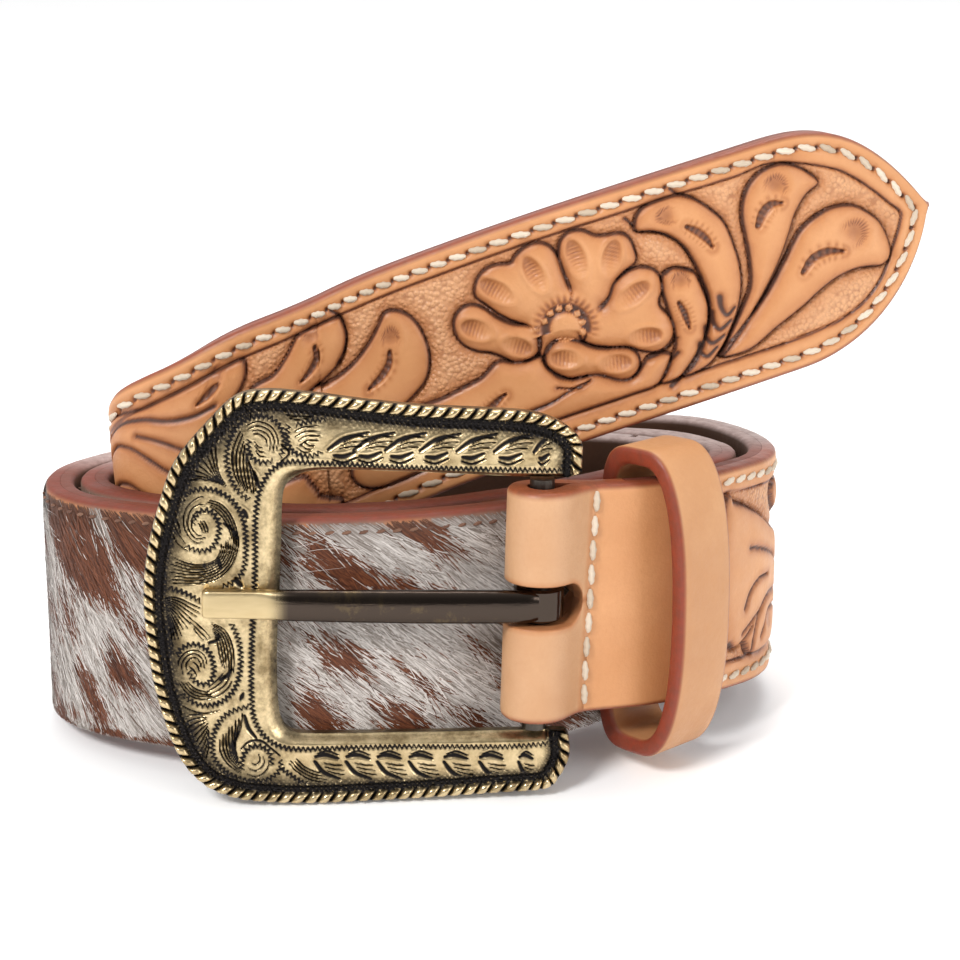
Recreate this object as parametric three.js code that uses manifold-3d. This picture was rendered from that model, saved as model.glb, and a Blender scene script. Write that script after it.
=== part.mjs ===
// Western leather belt, coiled about three turns and standing on its lower edge.
// Millimetres, +Z up, the viewer on the -Y side. The coil leans back a little: its
// front is carried by the lower edge of the buckle, its back by the strap's edge.
import * as THREE from 'three';
import Module from 'manifold-3d';

const wasm = await Module();
wasm.setup();

// Driving sizes
const BELT = {
  width: 38,         // strap width
  foldWidth: 36.4,   // strap width at the buckle fold
  widen: [16, 60],   // stretch over which the fold's width grows to the strap's
  thick: 4.7,        // both plies
  ply: 0.3,          // clearance between the plies
  butt: 0.3,         // clearance where two lengths of leather meet end to end
  tipUpper: 27,      // length of the pointed end along its upper edge
  tipLower: 27,      // and along its lower edge
  tipSharp: 3,       // exponent of the upper edge's run to the tip
  tailTrim: 0.4,     // the free end's upper edge lies this much nearer the middle
  tailTrimmed: [170, 230], // fully so nearer the tip than this, not at all beyond
  squared: [70, 115], // cross lines stand upright further from the tip than this,
  foldSquared: [12, 45], // and further from the bar than this
};
const HALF = BELT.thick / 2;
const FACE = BELT.ply / 2;
const BAR = { radius: 1.9, runClear: 0.3, endClear: 0.3 };
const FOLD = {
  inner: 2.3,        // inside radius of the roll round the bar
  outer: 5.3,        // outside radius of the roll
  taper: 9,          // where the roll has thinned to the strap
  close: 5.5,        // where the two leaves of the fold meet
  back: 14,          // length of the turned-back leaf
};
const SLOT = { height: 6.6, toRight: 6.3, toLeft: 8, rise: 0.3 };
const SPLIT = { buckleEnd: 118, tipStart: 600 };
const HOLE = { radius: 1.9, first: 146, pitch: 25.4, count: 5 };
const BEND = {
  fromTip: 147,      // the last bend before the free end, measured from the tip
  before: 15,        // lengths over which the lean grows and fades
  after: 70,
  lean: 0.1,         // how far its upper edge leans outward there
};
const KEEPER = {
  x: 23.4, y: -38.1, z: 23.9,
  heading: 45,       // direction that the strap takes through it, degrees
  width: 11.5,
  wall: 2.8,
  front: 11,         // outside, in front of the strap's middle
  back: 7.0,         // outside, behind it
  halfHeight: 24.9,
  round: [2.4, 5],   // exponents of the rounded outline, front half and back half
};
const FRAME = {
  yaw: 4,            // the far side stands this many degrees nearer the viewer
  reach: 60,         // bar to far side
  half: 32.4,        // half height
  back: -1.8,
  rope: 1.8,         // front of the rope edge
  ropeWidth: 1.75,
  channel: 1.0,
  channelWidth: 1.5,
  field: 1.6,
  bevel: 1.9,
  lip: 0.2,
};
const PRONG = {
  eye: 3.9,          // outside radius of its eye
  eyeHeight: 5.2,
  length: 51,
  flat: 10,          // length of the flat squared tip
  neck: 2,           // length over which the round body runs into it
  tipWidth: 4.2,
  bodyWidth: 5.0,
  rise: 0.15,
};
// The coil leans back by this angle, so that the buckle's lower edge and the strap's
// edge at the back stand on one level.
const LEAN = THREE.MathUtils.degToRad(5.1);

// Middle of the strap from the heel bar to the tip: shares of COIL along X, Y and Z.
const COIL = new THREE.Vector3(100, 100, 100);
const TURN_1 = [
  [0.089, -0.448, 0.262], [0.136, -0.422, 0.260], [0.186, -0.399, 0.257],
  [0.235, -0.378, 0.254], [0.284, -0.350, 0.251], [0.330, -0.314, 0.248],
  [0.373, -0.270, 0.244], [0.415, -0.214, 0.238], [0.451, -0.150, 0.231],
  [0.471, -0.082, 0.227], [0.471, -0.016, 0.225], [0.455, 0.046, 0.224],
  [0.425, 0.103, 0.224], [0.379, 0.151, 0.224], [0.308, 0.185, 0.221],
  [0.200, 0.205, 0.216], [0.060, 0.215, 0.211], [-0.115, 0.214, 0.206],
  [-0.300, 0.188, 0.200], [-0.460, 0.142, 0.196], [-0.576, 0.072, 0.193],
  [-0.652, -0.009, 0.1915], [-0.687, -0.078, 0.191], [-0.691, -0.148, 0.191],
  [-0.674, -0.212, 0.191], [-0.634, -0.268, 0.192], [-0.573, -0.313, 0.1935],
  [-0.496, -0.349, 0.195], [-0.398, -0.388, 0.197], [-0.300, -0.414, 0.1995],
  [-0.213, -0.421, 0.202], [-0.138, -0.415, 0.2035], [-0.070, -0.400, 0.205],
  [0, -0.379, 0.2065], [0.070, -0.352, 0.208], [0.140, -0.319, 0.210],
  [0.198, -0.272, 0.2115], [0.256, -0.220, 0.213], [0.318, -0.167, 0.215],
];
const TURN_2 = [
  [0.373, -0.119, 0.216], [0.404, -0.072, 0.216], [0.406, -0.024, 0.216],
  [0.389, 0.017, 0.215], [0.358, 0.059, 0.215], [0.309, 0.094, 0.214],
  [0.225, 0.120, 0.212], [0.110, 0.137, 0.2095], [-0.020, 0.148, 0.206],
  [-0.150, 0.149, 0.204], [-0.290, 0.132, 0.200], [-0.434, 0.089, 0.196],
  [-0.540, 0.028, 0.194], [-0.606, -0.040, 0.1925], [-0.634, -0.100, 0.192],
  [-0.631, -0.160, 0.192], [-0.601, -0.216, 0.193], [-0.546, -0.262, 0.194],
  [-0.476, -0.297, 0.1955], [-0.382, -0.333, 0.198], [-0.292, -0.358, 0.200],
  [-0.208, -0.364, 0.202], [-0.130, -0.356, 0.2035], [-0.060, -0.338, 0.205],
  [0.010, -0.308, 0.207], [0.080, -0.274, 0.2085], [0.140, -0.238, 0.2105],
  [0.192, -0.203, 0.212], [0.250, -0.155, 0.214],
];
const TURN_3 = [
  [0.305, -0.106, 0.216], [0.341, -0.062, 0.216], [0.346, -0.022, 0.216],
  [0.324, 0.012, 0.215], [0.288, 0.038, 0.2145], [0.235, 0.063, 0.214],
  [0.140, 0.080, 0.2135], [0.030, 0.092, 0.213], [-0.080, 0.095, 0.215],
  [-0.200, 0.089, 0.216], [-0.315, 0.070, 0.220], [-0.413, 0.037, 0.226],
  [-0.486, -0.008, 0.236], [-0.540, -0.063, 0.249], [-0.564, -0.120, 0.269],
  [-0.558, -0.177, 0.301], [-0.513, -0.215, 0.345], [-0.441, -0.231, 0.395],
  [-0.350, -0.227, 0.450], [-0.237, -0.214, 0.503], [-0.115, -0.202, 0.556],
  [0.007, -0.194, 0.601], [0.130, -0.191, 0.644], [0.252, -0.185, 0.684],
  [0.374, -0.172, 0.722], [0.494, -0.150, 0.758], [0.613, -0.118, 0.794],
  [0.718, -0.081, 0.827],
];
// Frame outline from the upper arm's end round the far side to the lower arm's end:
// outer edge, then inner edge, as shares of FRAME.reach and FRAME.half.
const OUTLINE = [
  [-0.098, 0.645, -0.059, 0.613], [-0.093, 0.784, -0.040, 0.611],
  [-0.045, 0.870, -0.008, 0.610], [0.031, 0.918, 0.067, 0.611],
  [0.143, 0.932, 0.167, 0.617], [0.293, 0.941, 0.288, 0.625],
  [0.442, 0.963, 0.417, 0.631], [0.590, 0.995, 0.517, 0.633],
  [0.700, 1.005, 0.590, 0.623], [0.772, 0.972, 0.627, 0.590],
  [0.842, 0.848, 0.647, 0.543], [0.920, 0.665, 0.653, 0.460],
  [0.957, 0.475, 0.654, 0.324], [0.987, 0.247, 0.656, 0.170],
  [0.998, 0.020, 0.658, 0.015], [0.988, -0.222, 0.662, -0.170],
  [0.966, -0.463, 0.662, -0.355], [0.916, -0.744, 0.658, -0.500],
  [0.853, -0.898, 0.648, -0.593], [0.772, -0.972, 0.623, -0.642],
  [0.687, -0.994, 0.577, -0.654], [0.572, -1.000, 0.475, -0.653],
  [0.418, -0.987, 0.358, -0.648], [0.263, -0.970, 0.233, -0.644],
  [0.108, -0.948, 0.100, -0.636], [-0.032, -0.926, 0, -0.633],
  [-0.070, -0.864, -0.033, -0.633], [-0.094, -0.759, -0.060, -0.636],
  [-0.090, -0.654, -0.082, -0.640],
];

const COLOURS = {
  tan: new THREE.MeshStandardMaterial({ color: 0xd2905a, roughness: 0.55, metalness: 0 }),
  lining: new THREE.MeshStandardMaterial({ color: 0x6b4a32, roughness: 0.8, metalness: 0 }),
  hide: new THREE.MeshStandardMaterial({ color: 0xb09c8c, roughness: 0.9, metalness: 0 }),
  brass: new THREE.MeshStandardMaterial({ color: 0x8c733f, roughness: 0.35, metalness: 1 }),
  steel: new THREE.MeshStandardMaterial({ color: 0x3a3428, roughness: 0.35, metalness: 1 }),
  prong: new THREE.MeshStandardMaterial({ color: 0x9c8350, roughness: 0.3, metalness: 1 }),
};

// Natural cubic spline through points, over their chord length.
function spline(points) {
  const n = points.length;
  const at = [0];
  for (let i = 1; i < n; i++) at.push(at[i - 1] + points[i].distanceTo(points[i - 1]));
  const bend = ['x', 'y', 'z'].map((axis) => {
    const m = new Array(n).fill(0);
    const c = new Array(n).fill(0);
    const d = new Array(n).fill(0);
    for (let i = 1; i < n - 1; i++) {
      const h0 = at[i] - at[i - 1];
      const h1 = at[i + 1] - at[i];
      const slope1 = (points[i + 1][axis] - points[i][axis]) / h1;
      const slope0 = (points[i][axis] - points[i - 1][axis]) / h0;
      const w = 2 * (h0 + h1) - h0 * c[i - 1];
      c[i] = h1 / w;
      d[i] = (6 * (slope1 - slope0) - h0 * d[i - 1]) / w;
    }
    for (let i = n - 2; i > 0; i--) m[i] = d[i] - c[i] * m[i + 1];
    return m;
  });
  return (t) => {
    let k = 0;
    while (k < n - 2 && at[k + 1] < t) k++;
    const h = at[k + 1] - at[k];
    const b = (t - at[k]) / h;
    const a = 1 - b;
    const value = new THREE.Vector3();
    const rate = new THREE.Vector3();
    ['x', 'y', 'z'].forEach((axis, j) => {
      const m0 = bend[j][k];
      const m1 = bend[j][k + 1];
      const p0 = points[k][axis];
      const p1 = points[k + 1][axis];
      value[axis] = a * p0 + b * p1 + ((a ** 3 - a) * m0 + (b ** 3 - b) * m1) * h * h / 6;
      rate[axis] = (p1 - p0) / h + ((3 * b * b - 1) * m1 - (3 * a * a - 1) * m0) * h / 6;
    });
    return { value, rate, end: at[n - 1] };
  };
}

const ease = (x) => {
  const t = Math.min(Math.max(x, 0), 1);
  return t * t * (3 - 2 * t);
};

// The strap's course: position, direction, outward normal and cross direction at each
// distance from the bar. Beyond the ends it runs straight on. The rule is the cross
// line of the surface: upright on the bends, so that the climbing strap stays a
// rolled sheet, and square to the strap at its free end.
const course = (() => {
  const points = [...TURN_1, ...TURN_2, ...TURN_3].map((p) => new THREE.Vector3(...p).multiply(COIL));
  const curve = spline(points);
  const end = curve(0).end;
  const fine = 4200;
  const table = [{ s: 0, t: 0 }];
  let last = curve(0).value;
  for (let i = 1; i <= fine; i++) {
    const t = end * i / fine;
    const p = curve(t).value;
    table.push({ s: table[i - 1].s + p.distanceTo(last), t });
    last = p;
  }
  const length = table[fine].s;
  return {
    length,
    at(s) {
      const inside = Math.min(Math.max(s, 0), length);
      let lo = 0;
      let hi = fine;
      while (hi - lo > 1) {
        const mid = (lo + hi) >> 1;
        if (table[mid].s <= inside) lo = mid;
        else hi = mid;
      }
      const share = (inside - table[lo].s) / (table[hi].s - table[lo].s);
      const { value, rate } = curve(table[lo].t + share * (table[hi].t - table[lo].t));
      const along = rate.normalize();
      value.addScaledVector(along, s - inside);
      const out = new THREE.Vector3(along.y, -along.x, 0).normalize();
      const across = new THREE.Vector3().crossVectors(out, along).normalize();
      const [near, far] = BELT.squared;
      const [low, high] = BELT.foldSquared;
      const upright = ease((length - s - near) / (far - near)) * ease((s - low) / (high - low));
      const slope = along.z / Math.hypot(along.x, along.y);
      const past = BEND.fromTip - (length - s);
      const lean = BEND.lean * ease(1 + past / BEND.before) * ease(1 - past / BEND.after);
      const rule = across.clone().addScaledVector(along, upright * slope).addScaledVector(out, lean);
      return { at: value, along, out, across, rule };
    },
  };
})();

// Distance from the strap's middle line to its upper (side 1) or lower (side -1) edge,
// with the pointed tip.
function halfWidth(s, side) {
  const [from, to] = BELT.widen;
  let full = (BELT.foldWidth + (BELT.width - BELT.foldWidth) * ease((s - from) / (to - from))) / 2;
  const left = course.length - s;
  if (side > 0) {
    const [near, far] = BELT.tailTrimmed;
    full -= BELT.tailTrim * ease((far - left) / (far - near));
    const short = Math.max(1 - left / BELT.tipUpper, 0);
    return Math.max(full * (1 - short ** BELT.tipSharp), 0.4);
  }
  const tip = BELT.tipLower;
  if (left >= tip) return full;
  // circular arc, tangent to the edge, that reaches the middle at the tip
  const radius = (tip ** 2 + full ** 2) / (2 * full);
  return Math.max(full - radius + Math.sqrt(radius ** 2 - (tip - left) ** 2), 0.4);
}

// Closed mesh from rings of equal length; open runs are capped at both ends.
function loft(rings, closed = false) {
  const size = rings[0].length;
  const positions = [];
  const index = [];
  for (const ring of rings) for (const p of ring) positions.push(p.x, p.y, p.z);
  const runs = closed ? rings.length : rings.length - 1;
  for (let i = 0; i < runs; i++) {
    const a = i * size;
    const b = ((i + 1) % rings.length) * size;
    for (let j = 0; j < size; j++) {
      const k = (j + 1) % size;
      // both sides of a ply are split along the same diagonal
      if (j < size / 2) index.push(a + j, b + j, b + k, a + j, b + k, a + k);
      else index.push(a + j, b + j, a + k, a + k, b + j, b + k);
    }
  }
  if (!closed) {
    const cap = (ring, base, flip) => {
      const normal = new THREE.Vector3();
      ring.forEach((p, j) => normal.add(new THREE.Vector3().crossVectors(p, ring[(j + 1) % size])));
      normal.normalize();
      const u = new THREE.Vector3().subVectors(ring[1], ring[0]);
      u.addScaledVector(normal, -u.dot(normal)).normalize();
      const v = new THREE.Vector3().crossVectors(normal, u);
      const flat = ring.map((p) => new THREE.Vector2(p.dot(u), p.dot(v)));
      for (const [x, y, z] of THREE.ShapeUtils.triangulateShape(flat, [])) {
        if (flip) index.push(base + x, base + z, base + y);
        else index.push(base + x, base + y, base + z);
      }
    };
    cap(rings[0], 0, false);
    cap(rings[rings.length - 1], (rings.length - 1) * size, true);
  }
  const geometry = new THREE.BufferGeometry();
  geometry.setAttribute('position', new THREE.Float32BufferAttribute(positions, 3));
  geometry.setIndex(index);
  return outward(geometry);
}

function volume(geometry) {
  const p = geometry.getAttribute('position');
  const index = geometry.getIndex().array;
  const [a, b, c] = [new THREE.Vector3(), new THREE.Vector3(), new THREE.Vector3()];
  let sum = 0;
  for (let i = 0; i < index.length; i += 3) {
    a.fromBufferAttribute(p, index[i]);
    b.fromBufferAttribute(p, index[i + 1]);
    c.fromBufferAttribute(p, index[i + 2]);
    sum += a.dot(b.cross(c)) / 6;
  }
  return sum;
}

function outward(geometry) {
  if (volume(geometry) < 0) {
    const index = geometry.getIndex().array;
    for (let i = 0; i < index.length; i += 3) {
      const keep = index[i + 1];
      index[i + 1] = index[i + 2];
      index[i + 2] = keep;
    }
  }
  return geometry;
}

function toSolid(geometry) {
  const p = geometry.getAttribute('position');
  return new wasm.Manifold(new wasm.Mesh({
    numProp: 3,
    vertProperties: new Float32Array(p.array),
    triVerts: new Uint32Array(geometry.getIndex().array),
  }));
}

function fromSolid(solid) {
  const mesh = solid.getMesh();
  const positions = [];
  for (let i = 0; i < mesh.vertProperties.length; i += mesh.numProp) {
    positions.push(mesh.vertProperties[i], mesh.vertProperties[i + 1], mesh.vertProperties[i + 2]);
  }
  const geometry = new THREE.BufferGeometry();
  geometry.setAttribute('position', new THREE.Float32BufferAttribute(positions, 3));
  geometry.setIndex([...mesh.triVerts]);
  return geometry;
}

// Distances from the bar at which the strap gets a section: where it has turned by
// SECTION.turn, or after SECTION.step. All plies share them, so their faces stay parallel.
const SECTION = { turn: 0.11, step: 9, tipStep: 2 };
const sections = (() => {
  const list = [FOLD.taper];
  let heading = course.at(FOLD.taper).along;
  for (let s = FOLD.taper; s < course.length - 0.6; s += 0.5) {
    const along = course.at(s).along;
    const step = s - list[list.length - 1];
    const nearTip = course.length - s < BELT.tipLower;
    if (along.angleTo(heading) > SECTION.turn || step >= (nearTip ? SECTION.tipStep : SECTION.step)) {
      list.push(s);
      heading = along;
    }
  }
  return list;
})();

const stations = (from, to) => [from, ...sections.filter((s) => s > from + 0.4 && s < to - 0.4), to];

// One section of a ply, between two distances in front of the strap's middle.
function section(s, inner, outer) {
  const f = course.at(s);
  const corner = (n, side) => f.at.clone().addScaledVector(f.out, n)
    .addScaledVector(f.rule, side * halfWidth(s, side));
  return [corner(inner, -1), corner(outer, -1), corner(outer, 1), corner(inner, 1)];
}

const ply = (from, to, inner, outer) => loft(stations(from, to).map((s) => section(s, inner, outer)));

// The buckle-end leather: tooled length, then round the bar and back behind the strap.
function foldedLeather() {
  const swell = (s) => 1 - ease(s / FOLD.taper);
  const open = (s) => 1 - ease(s / FOLD.close);
  const leaf = (s, side) => {
    const inner = side * (FACE + (FOLD.inner - FACE) * open(s));
    const outer = side * (HALF + (FOLD.outer - HALF) * swell(s));
    return section(s, inner, outer);
  };
  const rings = [];
  for (const s of stations(FOLD.taper, SPLIT.buckleEnd).reverse()) rings.push(leaf(s, 1));
  for (const s of [7.5, 6, 4.5, 3, 1.5]) rings.push(leaf(s, 1));
  const turn = 10;
  for (let i = 0; i <= turn; i++) {
    const angle = Math.PI * i / turn;
    const place = (radius, side) => {
      const f = course.at(0);
      return f.at.clone().addScaledVector(f.out, radius * Math.cos(angle))
        .addScaledVector(f.along, -radius * Math.sin(angle))
        .addScaledVector(f.rule, side * halfWidth(0, side));
    };
    rings.push([place(FOLD.inner, -1), place(FOLD.outer, -1), place(FOLD.outer, 1), place(FOLD.inner, 1)]);
  }
  for (const s of [1.5, 3, 4.5, 6, 7.5, FOLD.taper, 11.5, FOLD.back]) rings.push(leaf(s, -1));
  // opening for the prong, round at its right end
  const f = course.at(0);
  const shape = new THREE.Shape();
  const r = SLOT.height / 2;
  shape.moveTo(-SLOT.toLeft, -r);
  shape.lineTo(SLOT.toRight - r, -r);
  shape.absarc(SLOT.toRight - r, 0, r, -Math.PI / 2, Math.PI / 2, false);
  shape.lineTo(-SLOT.toLeft, r);
  shape.closePath();
  const depth = 4 * FOLD.outer;
  const cut = new THREE.ExtrudeGeometry(shape, { depth, bevelEnabled: false, curveSegments: 8 });
  cut.translate(0, SLOT.rise, -depth / 2);
  cut.applyMatrix4(new THREE.Matrix4().makeBasis(f.along, f.across, f.out).setPosition(f.at));
  return fromSolid(toSolid(loft(rings)).subtract(toSolid(outward(welded(cut)))));
}

// Same corner, same vertex.
function welded(source) {
  const p = source.getAttribute('position');
  const old = source.getIndex();
  const seen = new Map();
  const positions = [];
  const index = [];
  const count = old ? old.count : p.count;
  for (let i = 0; i < count; i++) {
    const j = old ? old.getX(i) : i;
    const key = [p.getX(j), p.getY(j), p.getZ(j)].map((v) => v.toFixed(5)).join();
    if (!seen.has(key)) {
      seen.set(key, seen.size);
      positions.push(p.getX(j), p.getY(j), p.getZ(j));
    }
    index.push(seen.get(key));
  }
  const geometry = new THREE.BufferGeometry();
  geometry.setAttribute('position', new THREE.Float32BufferAttribute(positions, 3));
  geometry.setIndex(index);
  return geometry;
}

// Round holes along the middle of the strap, for the prong.
function punched(geometry) {
  let solid = toSolid(geometry);
  for (let i = 0; i < HOLE.count; i++) {
    const f = course.at(course.length - HOLE.first - i * HOLE.pitch);
    const pin = new THREE.CylinderGeometry(HOLE.radius, HOLE.radius, 3 * BELT.thick, 16);
    pin.applyMatrix4(new THREE.Matrix4().makeBasis(f.along, f.out, f.across).setPosition(f.at));
    solid = solid.subtract(toSolid(outward(welded(pin))));
  }
  return fromSolid(solid);
}

function keeper() {
  const angle = THREE.MathUtils.degToRad(KEEPER.heading);
  const along = new THREE.Vector3(Math.cos(angle), Math.sin(angle), 0);
  const out = new THREE.Vector3(along.y, -along.x, 0);
  const centre = new THREE.Vector3(KEEPER.x, KEEPER.y, KEEPER.z)
    .addScaledVector(out, (KEEPER.front - KEEPER.back) / 2);
  const deep = (KEEPER.front + KEEPER.back) / 2;
  const steps = 40;
  const rings = [];
  for (let i = 0; i < steps; i++) {
    const a = 2 * Math.PI * (i + 0.5) / steps;
    const power = 2 / KEEPER.round[Math.cos(a) > 0 ? 0 : 1];
    const round = (v) => Math.sign(v) * Math.abs(v) ** power;
    const place = (inset, u) => centre.clone()
      .addScaledVector(out, (deep - inset) * round(Math.cos(a)))
      .addScaledVector(along, u)
      .add(new THREE.Vector3(0, 0, (KEEPER.halfHeight - inset) * round(Math.sin(a))));
    const [w, u] = [KEEPER.wall, KEEPER.width];
    rings.push([place(w, 0), place(0, 0), place(0, u), place(w, u)]);
  }
  return loft(rings, true);
}

// Buckle axes: origin on the bar, a to the far side, b up the bar, n to the viewer.
const buckle = (() => {
  const f = course.at(0);
  const b = f.across;
  const yaw = THREE.MathUtils.degToRad(FRAME.yaw);
  const a = new THREE.Vector3(-Math.cos(yaw), -Math.sin(yaw), 0);
  a.addScaledVector(b, -a.dot(b)).normalize();
  const n = new THREE.Vector3().crossVectors(b, a);
  return (x, y, z) => f.at.clone().addScaledVector(a, x).addScaledVector(b, y).addScaledVector(n, z);
})();

function frame() {
  const edges = OUTLINE.map(([a, b, c, d]) => [
    new THREE.Vector3(a * FRAME.reach, b * FRAME.half, 0),
    new THREE.Vector3(c * FRAME.reach, d * FRAME.half, 0),
  ]);
  const outer = new THREE.CatmullRomCurve3(edges.map((e) => e[0]), false, 'centripetal');
  const inner = new THREE.CatmullRomCurve3(edges.map((e) => e[1]), false, 'centripetal');
  const steps = (OUTLINE.length - 1) * 2;
  const rings = [];
  for (let i = 0; i <= steps; i++) {
    const o = outer.getPoint(i / steps);
    const q = inner.getPoint(i / steps);
    const w = o.distanceTo(q);
    const k = Math.min(1, w / 9);
    const rope = FRAME.ropeWidth * k;
    const channel = rope + FRAME.channelWidth * k;
    const bevel = w - FRAME.bevel * k;
    const profile = [
      [0, FRAME.back], [0, FRAME.channel], [rope * 0.28, FRAME.rope], [rope * 0.72, FRAME.rope],
      [rope, FRAME.channel], [channel, FRAME.channel], [(channel + bevel) / 2, FRAME.field],
      [bevel, FRAME.field], [w, FRAME.lip], [w, FRAME.back],
    ];
    rings.push(profile.map(([d, n]) => {
      const p = o.clone().lerp(q, d / w);
      return buckle(p.x, p.y, n);
    }));
  }
  return loft(rings);
}

function heelBar() {
  const top = OUTLINE[2][3] * FRAME.half - BAR.endClear;
  const bottom = OUTLINE[25][3] * FRAME.half + BAR.endClear;
  const bar = new THREE.CylinderGeometry(BAR.radius, BAR.radius, top - bottom, 20);
  const f = course.at(0);
  bar.translate(0, (top + bottom) / 2, 0);
  bar.applyMatrix4(new THREE.Matrix4().makeBasis(f.along, f.across, f.out.clone().negate()).setPosition(f.at));
  return outward(welded(bar));
}

function prong() {
  const inside = BAR.radius + BAR.runClear;
  const turn = 24;
  const eye = [];
  for (let i = 0; i < turn; i++) {
    const angle = 2 * Math.PI * i / turn;
    const place = (radius, side) => buckle(
      radius * Math.cos(angle), PRONG.rise + side * PRONG.eyeHeight / 2, radius * Math.sin(angle));
    eye.push([place(inside, -1), place(PRONG.eye, -1), place(PRONG.eye, 1), place(inside, 1)]);
  }
  // distance from the bar, middle of the thickness, half thickness, half width
  const rest = FRAME.field + BAR.runClear;
  const flatFrom = PRONG.length - PRONG.flat;
  const body = [
    [0.4, 3.05, 0.7, PRONG.bodyWidth / 2 - 0.2],
    [3, 2.9, 1.2, PRONG.bodyWidth / 2],
    [8, 3.25, 1.45, PRONG.bodyWidth / 2],
    [14, 3.5, 1.6, PRONG.bodyWidth / 2],
    [28, 3.6, 1.55, PRONG.bodyWidth / 2 - 0.1],
    [flatFrom - PRONG.neck, rest + 1.35, 1.3, PRONG.tipWidth / 2 + 0.1],
    [flatFrom, rest + 1.1, 1.1, PRONG.tipWidth / 2],
    [PRONG.length, rest + 1.0, 0.9, PRONG.tipWidth / 2],
  ];
  const rings = body.map(([a, mid, t, w]) => {
    const e = Math.min(0.8, t * 0.55);
    const corners = [
      [-w, -t + e], [-w, t - e], [-w + e, t], [w - e, t],
      [w, t - e], [w, -t + e], [w - e, -t], [-w + e, -t],
    ];
    return corners.map(([b, n]) => buckle(a, PRONG.rise + b, mid + n));
  });
  return fromSolid(toSolid(loft(eye, true)).add(toSolid(loft(rings))));
}

const group = new THREE.Group();
function add(name, geometry, material) {
  const mesh = new THREE.Mesh(geometry, material);
  mesh.name = name;
  group.add(mesh);
}

const tipPly = ply(SPLIT.tipStart + BELT.butt, course.length, FACE, HALF);
add('lining_strap', punched(ply(FOLD.back + BELT.butt, course.length, -HALF, -FACE)), COLOURS.lining);
add('buckle_billet', foldedLeather(), COLOURS.tan);
add('hide_inlay', ply(SPLIT.buckleEnd + BELT.butt, SPLIT.tipStart, FACE, HALF), COLOURS.hide);
add('tip_billet', punched(tipPly), COLOURS.tan);
add('keeper_loop', keeper(), COLOURS.tan);
add('buckle_frame', frame(), COLOURS.brass);
add('heel_bar', heelBar(), COLOURS.steel);
add('prong', prong(), COLOURS.prong);

// Lean the whole coil back, then set its box centred on the origin, standing on Z = 0.
group.children.forEach((mesh) => mesh.geometry.applyMatrix4(new THREE.Matrix4().makeRotationX(-LEAN)));
const box = new THREE.Box3();
group.children.forEach((mesh) => {
  mesh.geometry.computeBoundingBox();
  box.union(mesh.geometry.boundingBox);
});
const middle = box.getCenter(new THREE.Vector3());
group.children.forEach((mesh) => mesh.geometry.translate(-middle.x, -middle.y, -box.min.z));

export default group;
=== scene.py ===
"""Looks of a coiled western belt: tooled leather, hair-on hide, engraved buckle.

Lengths are in millimetres until a mesh is made, and metres from there on. The strap is
addressed by s (distance from the heel bar), v (height across the strap) and n (distance in
front of its middle). The buckle is addressed by a (towards its far side), b (up the bar)
and n (towards the viewer).
"""

import math

import bpy
import numpy as np
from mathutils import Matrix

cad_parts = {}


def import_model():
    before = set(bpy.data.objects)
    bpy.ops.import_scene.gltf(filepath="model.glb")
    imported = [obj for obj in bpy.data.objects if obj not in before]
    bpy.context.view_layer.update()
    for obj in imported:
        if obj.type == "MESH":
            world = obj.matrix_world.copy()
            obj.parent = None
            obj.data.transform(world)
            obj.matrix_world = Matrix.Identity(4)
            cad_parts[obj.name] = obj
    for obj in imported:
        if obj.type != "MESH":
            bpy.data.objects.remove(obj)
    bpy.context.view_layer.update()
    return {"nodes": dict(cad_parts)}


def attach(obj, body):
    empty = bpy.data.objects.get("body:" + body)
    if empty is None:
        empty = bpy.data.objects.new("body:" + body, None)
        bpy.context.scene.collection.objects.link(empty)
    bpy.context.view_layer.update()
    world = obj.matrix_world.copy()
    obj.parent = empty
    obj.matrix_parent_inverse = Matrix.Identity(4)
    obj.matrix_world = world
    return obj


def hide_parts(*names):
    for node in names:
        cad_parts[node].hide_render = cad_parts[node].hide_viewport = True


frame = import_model()
rng = np.random.default_rng(11)

# Sizes of the part
HALF = 2.35
FACE = 0.02
FOLD_WIDTH, WIDTH = 36.4, 38.0
TIP_UPPER, TIP_LOWER = 27.0, 27.0
BLUNT = 0.4                      # least half width at the tip
HOLE_FIRST, HOLE_PITCH = 146, 25.4
TOOLED = 178                     # tooled length of the free end
FINE = 104                       # part of it that has the finest mesh
ROPE, CHANNEL = 1.75, 2.95       # edges of the rope and the channel, from the frame's outside
FACE_N, BACK_N = 1.6, -1.8       # front and back of the frame plate
PRONG_RISE = 0.15
BEND_FROM_TIP, BEND_BEFORE, BEND_AFTER, BEND_LEAN = 147.0, 15.0, 70.0, 0.1
HIDE_FROM, HIDE_TO = 118.0, 600.0
LEAN = math.radians(5.1)
OFFSET = np.array([0.5754, -11.5010, -1.0969])
FRAME_YAW, FRAME_REACH, FRAME_HALF = math.radians(4), 60.0, 32.4

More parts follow.
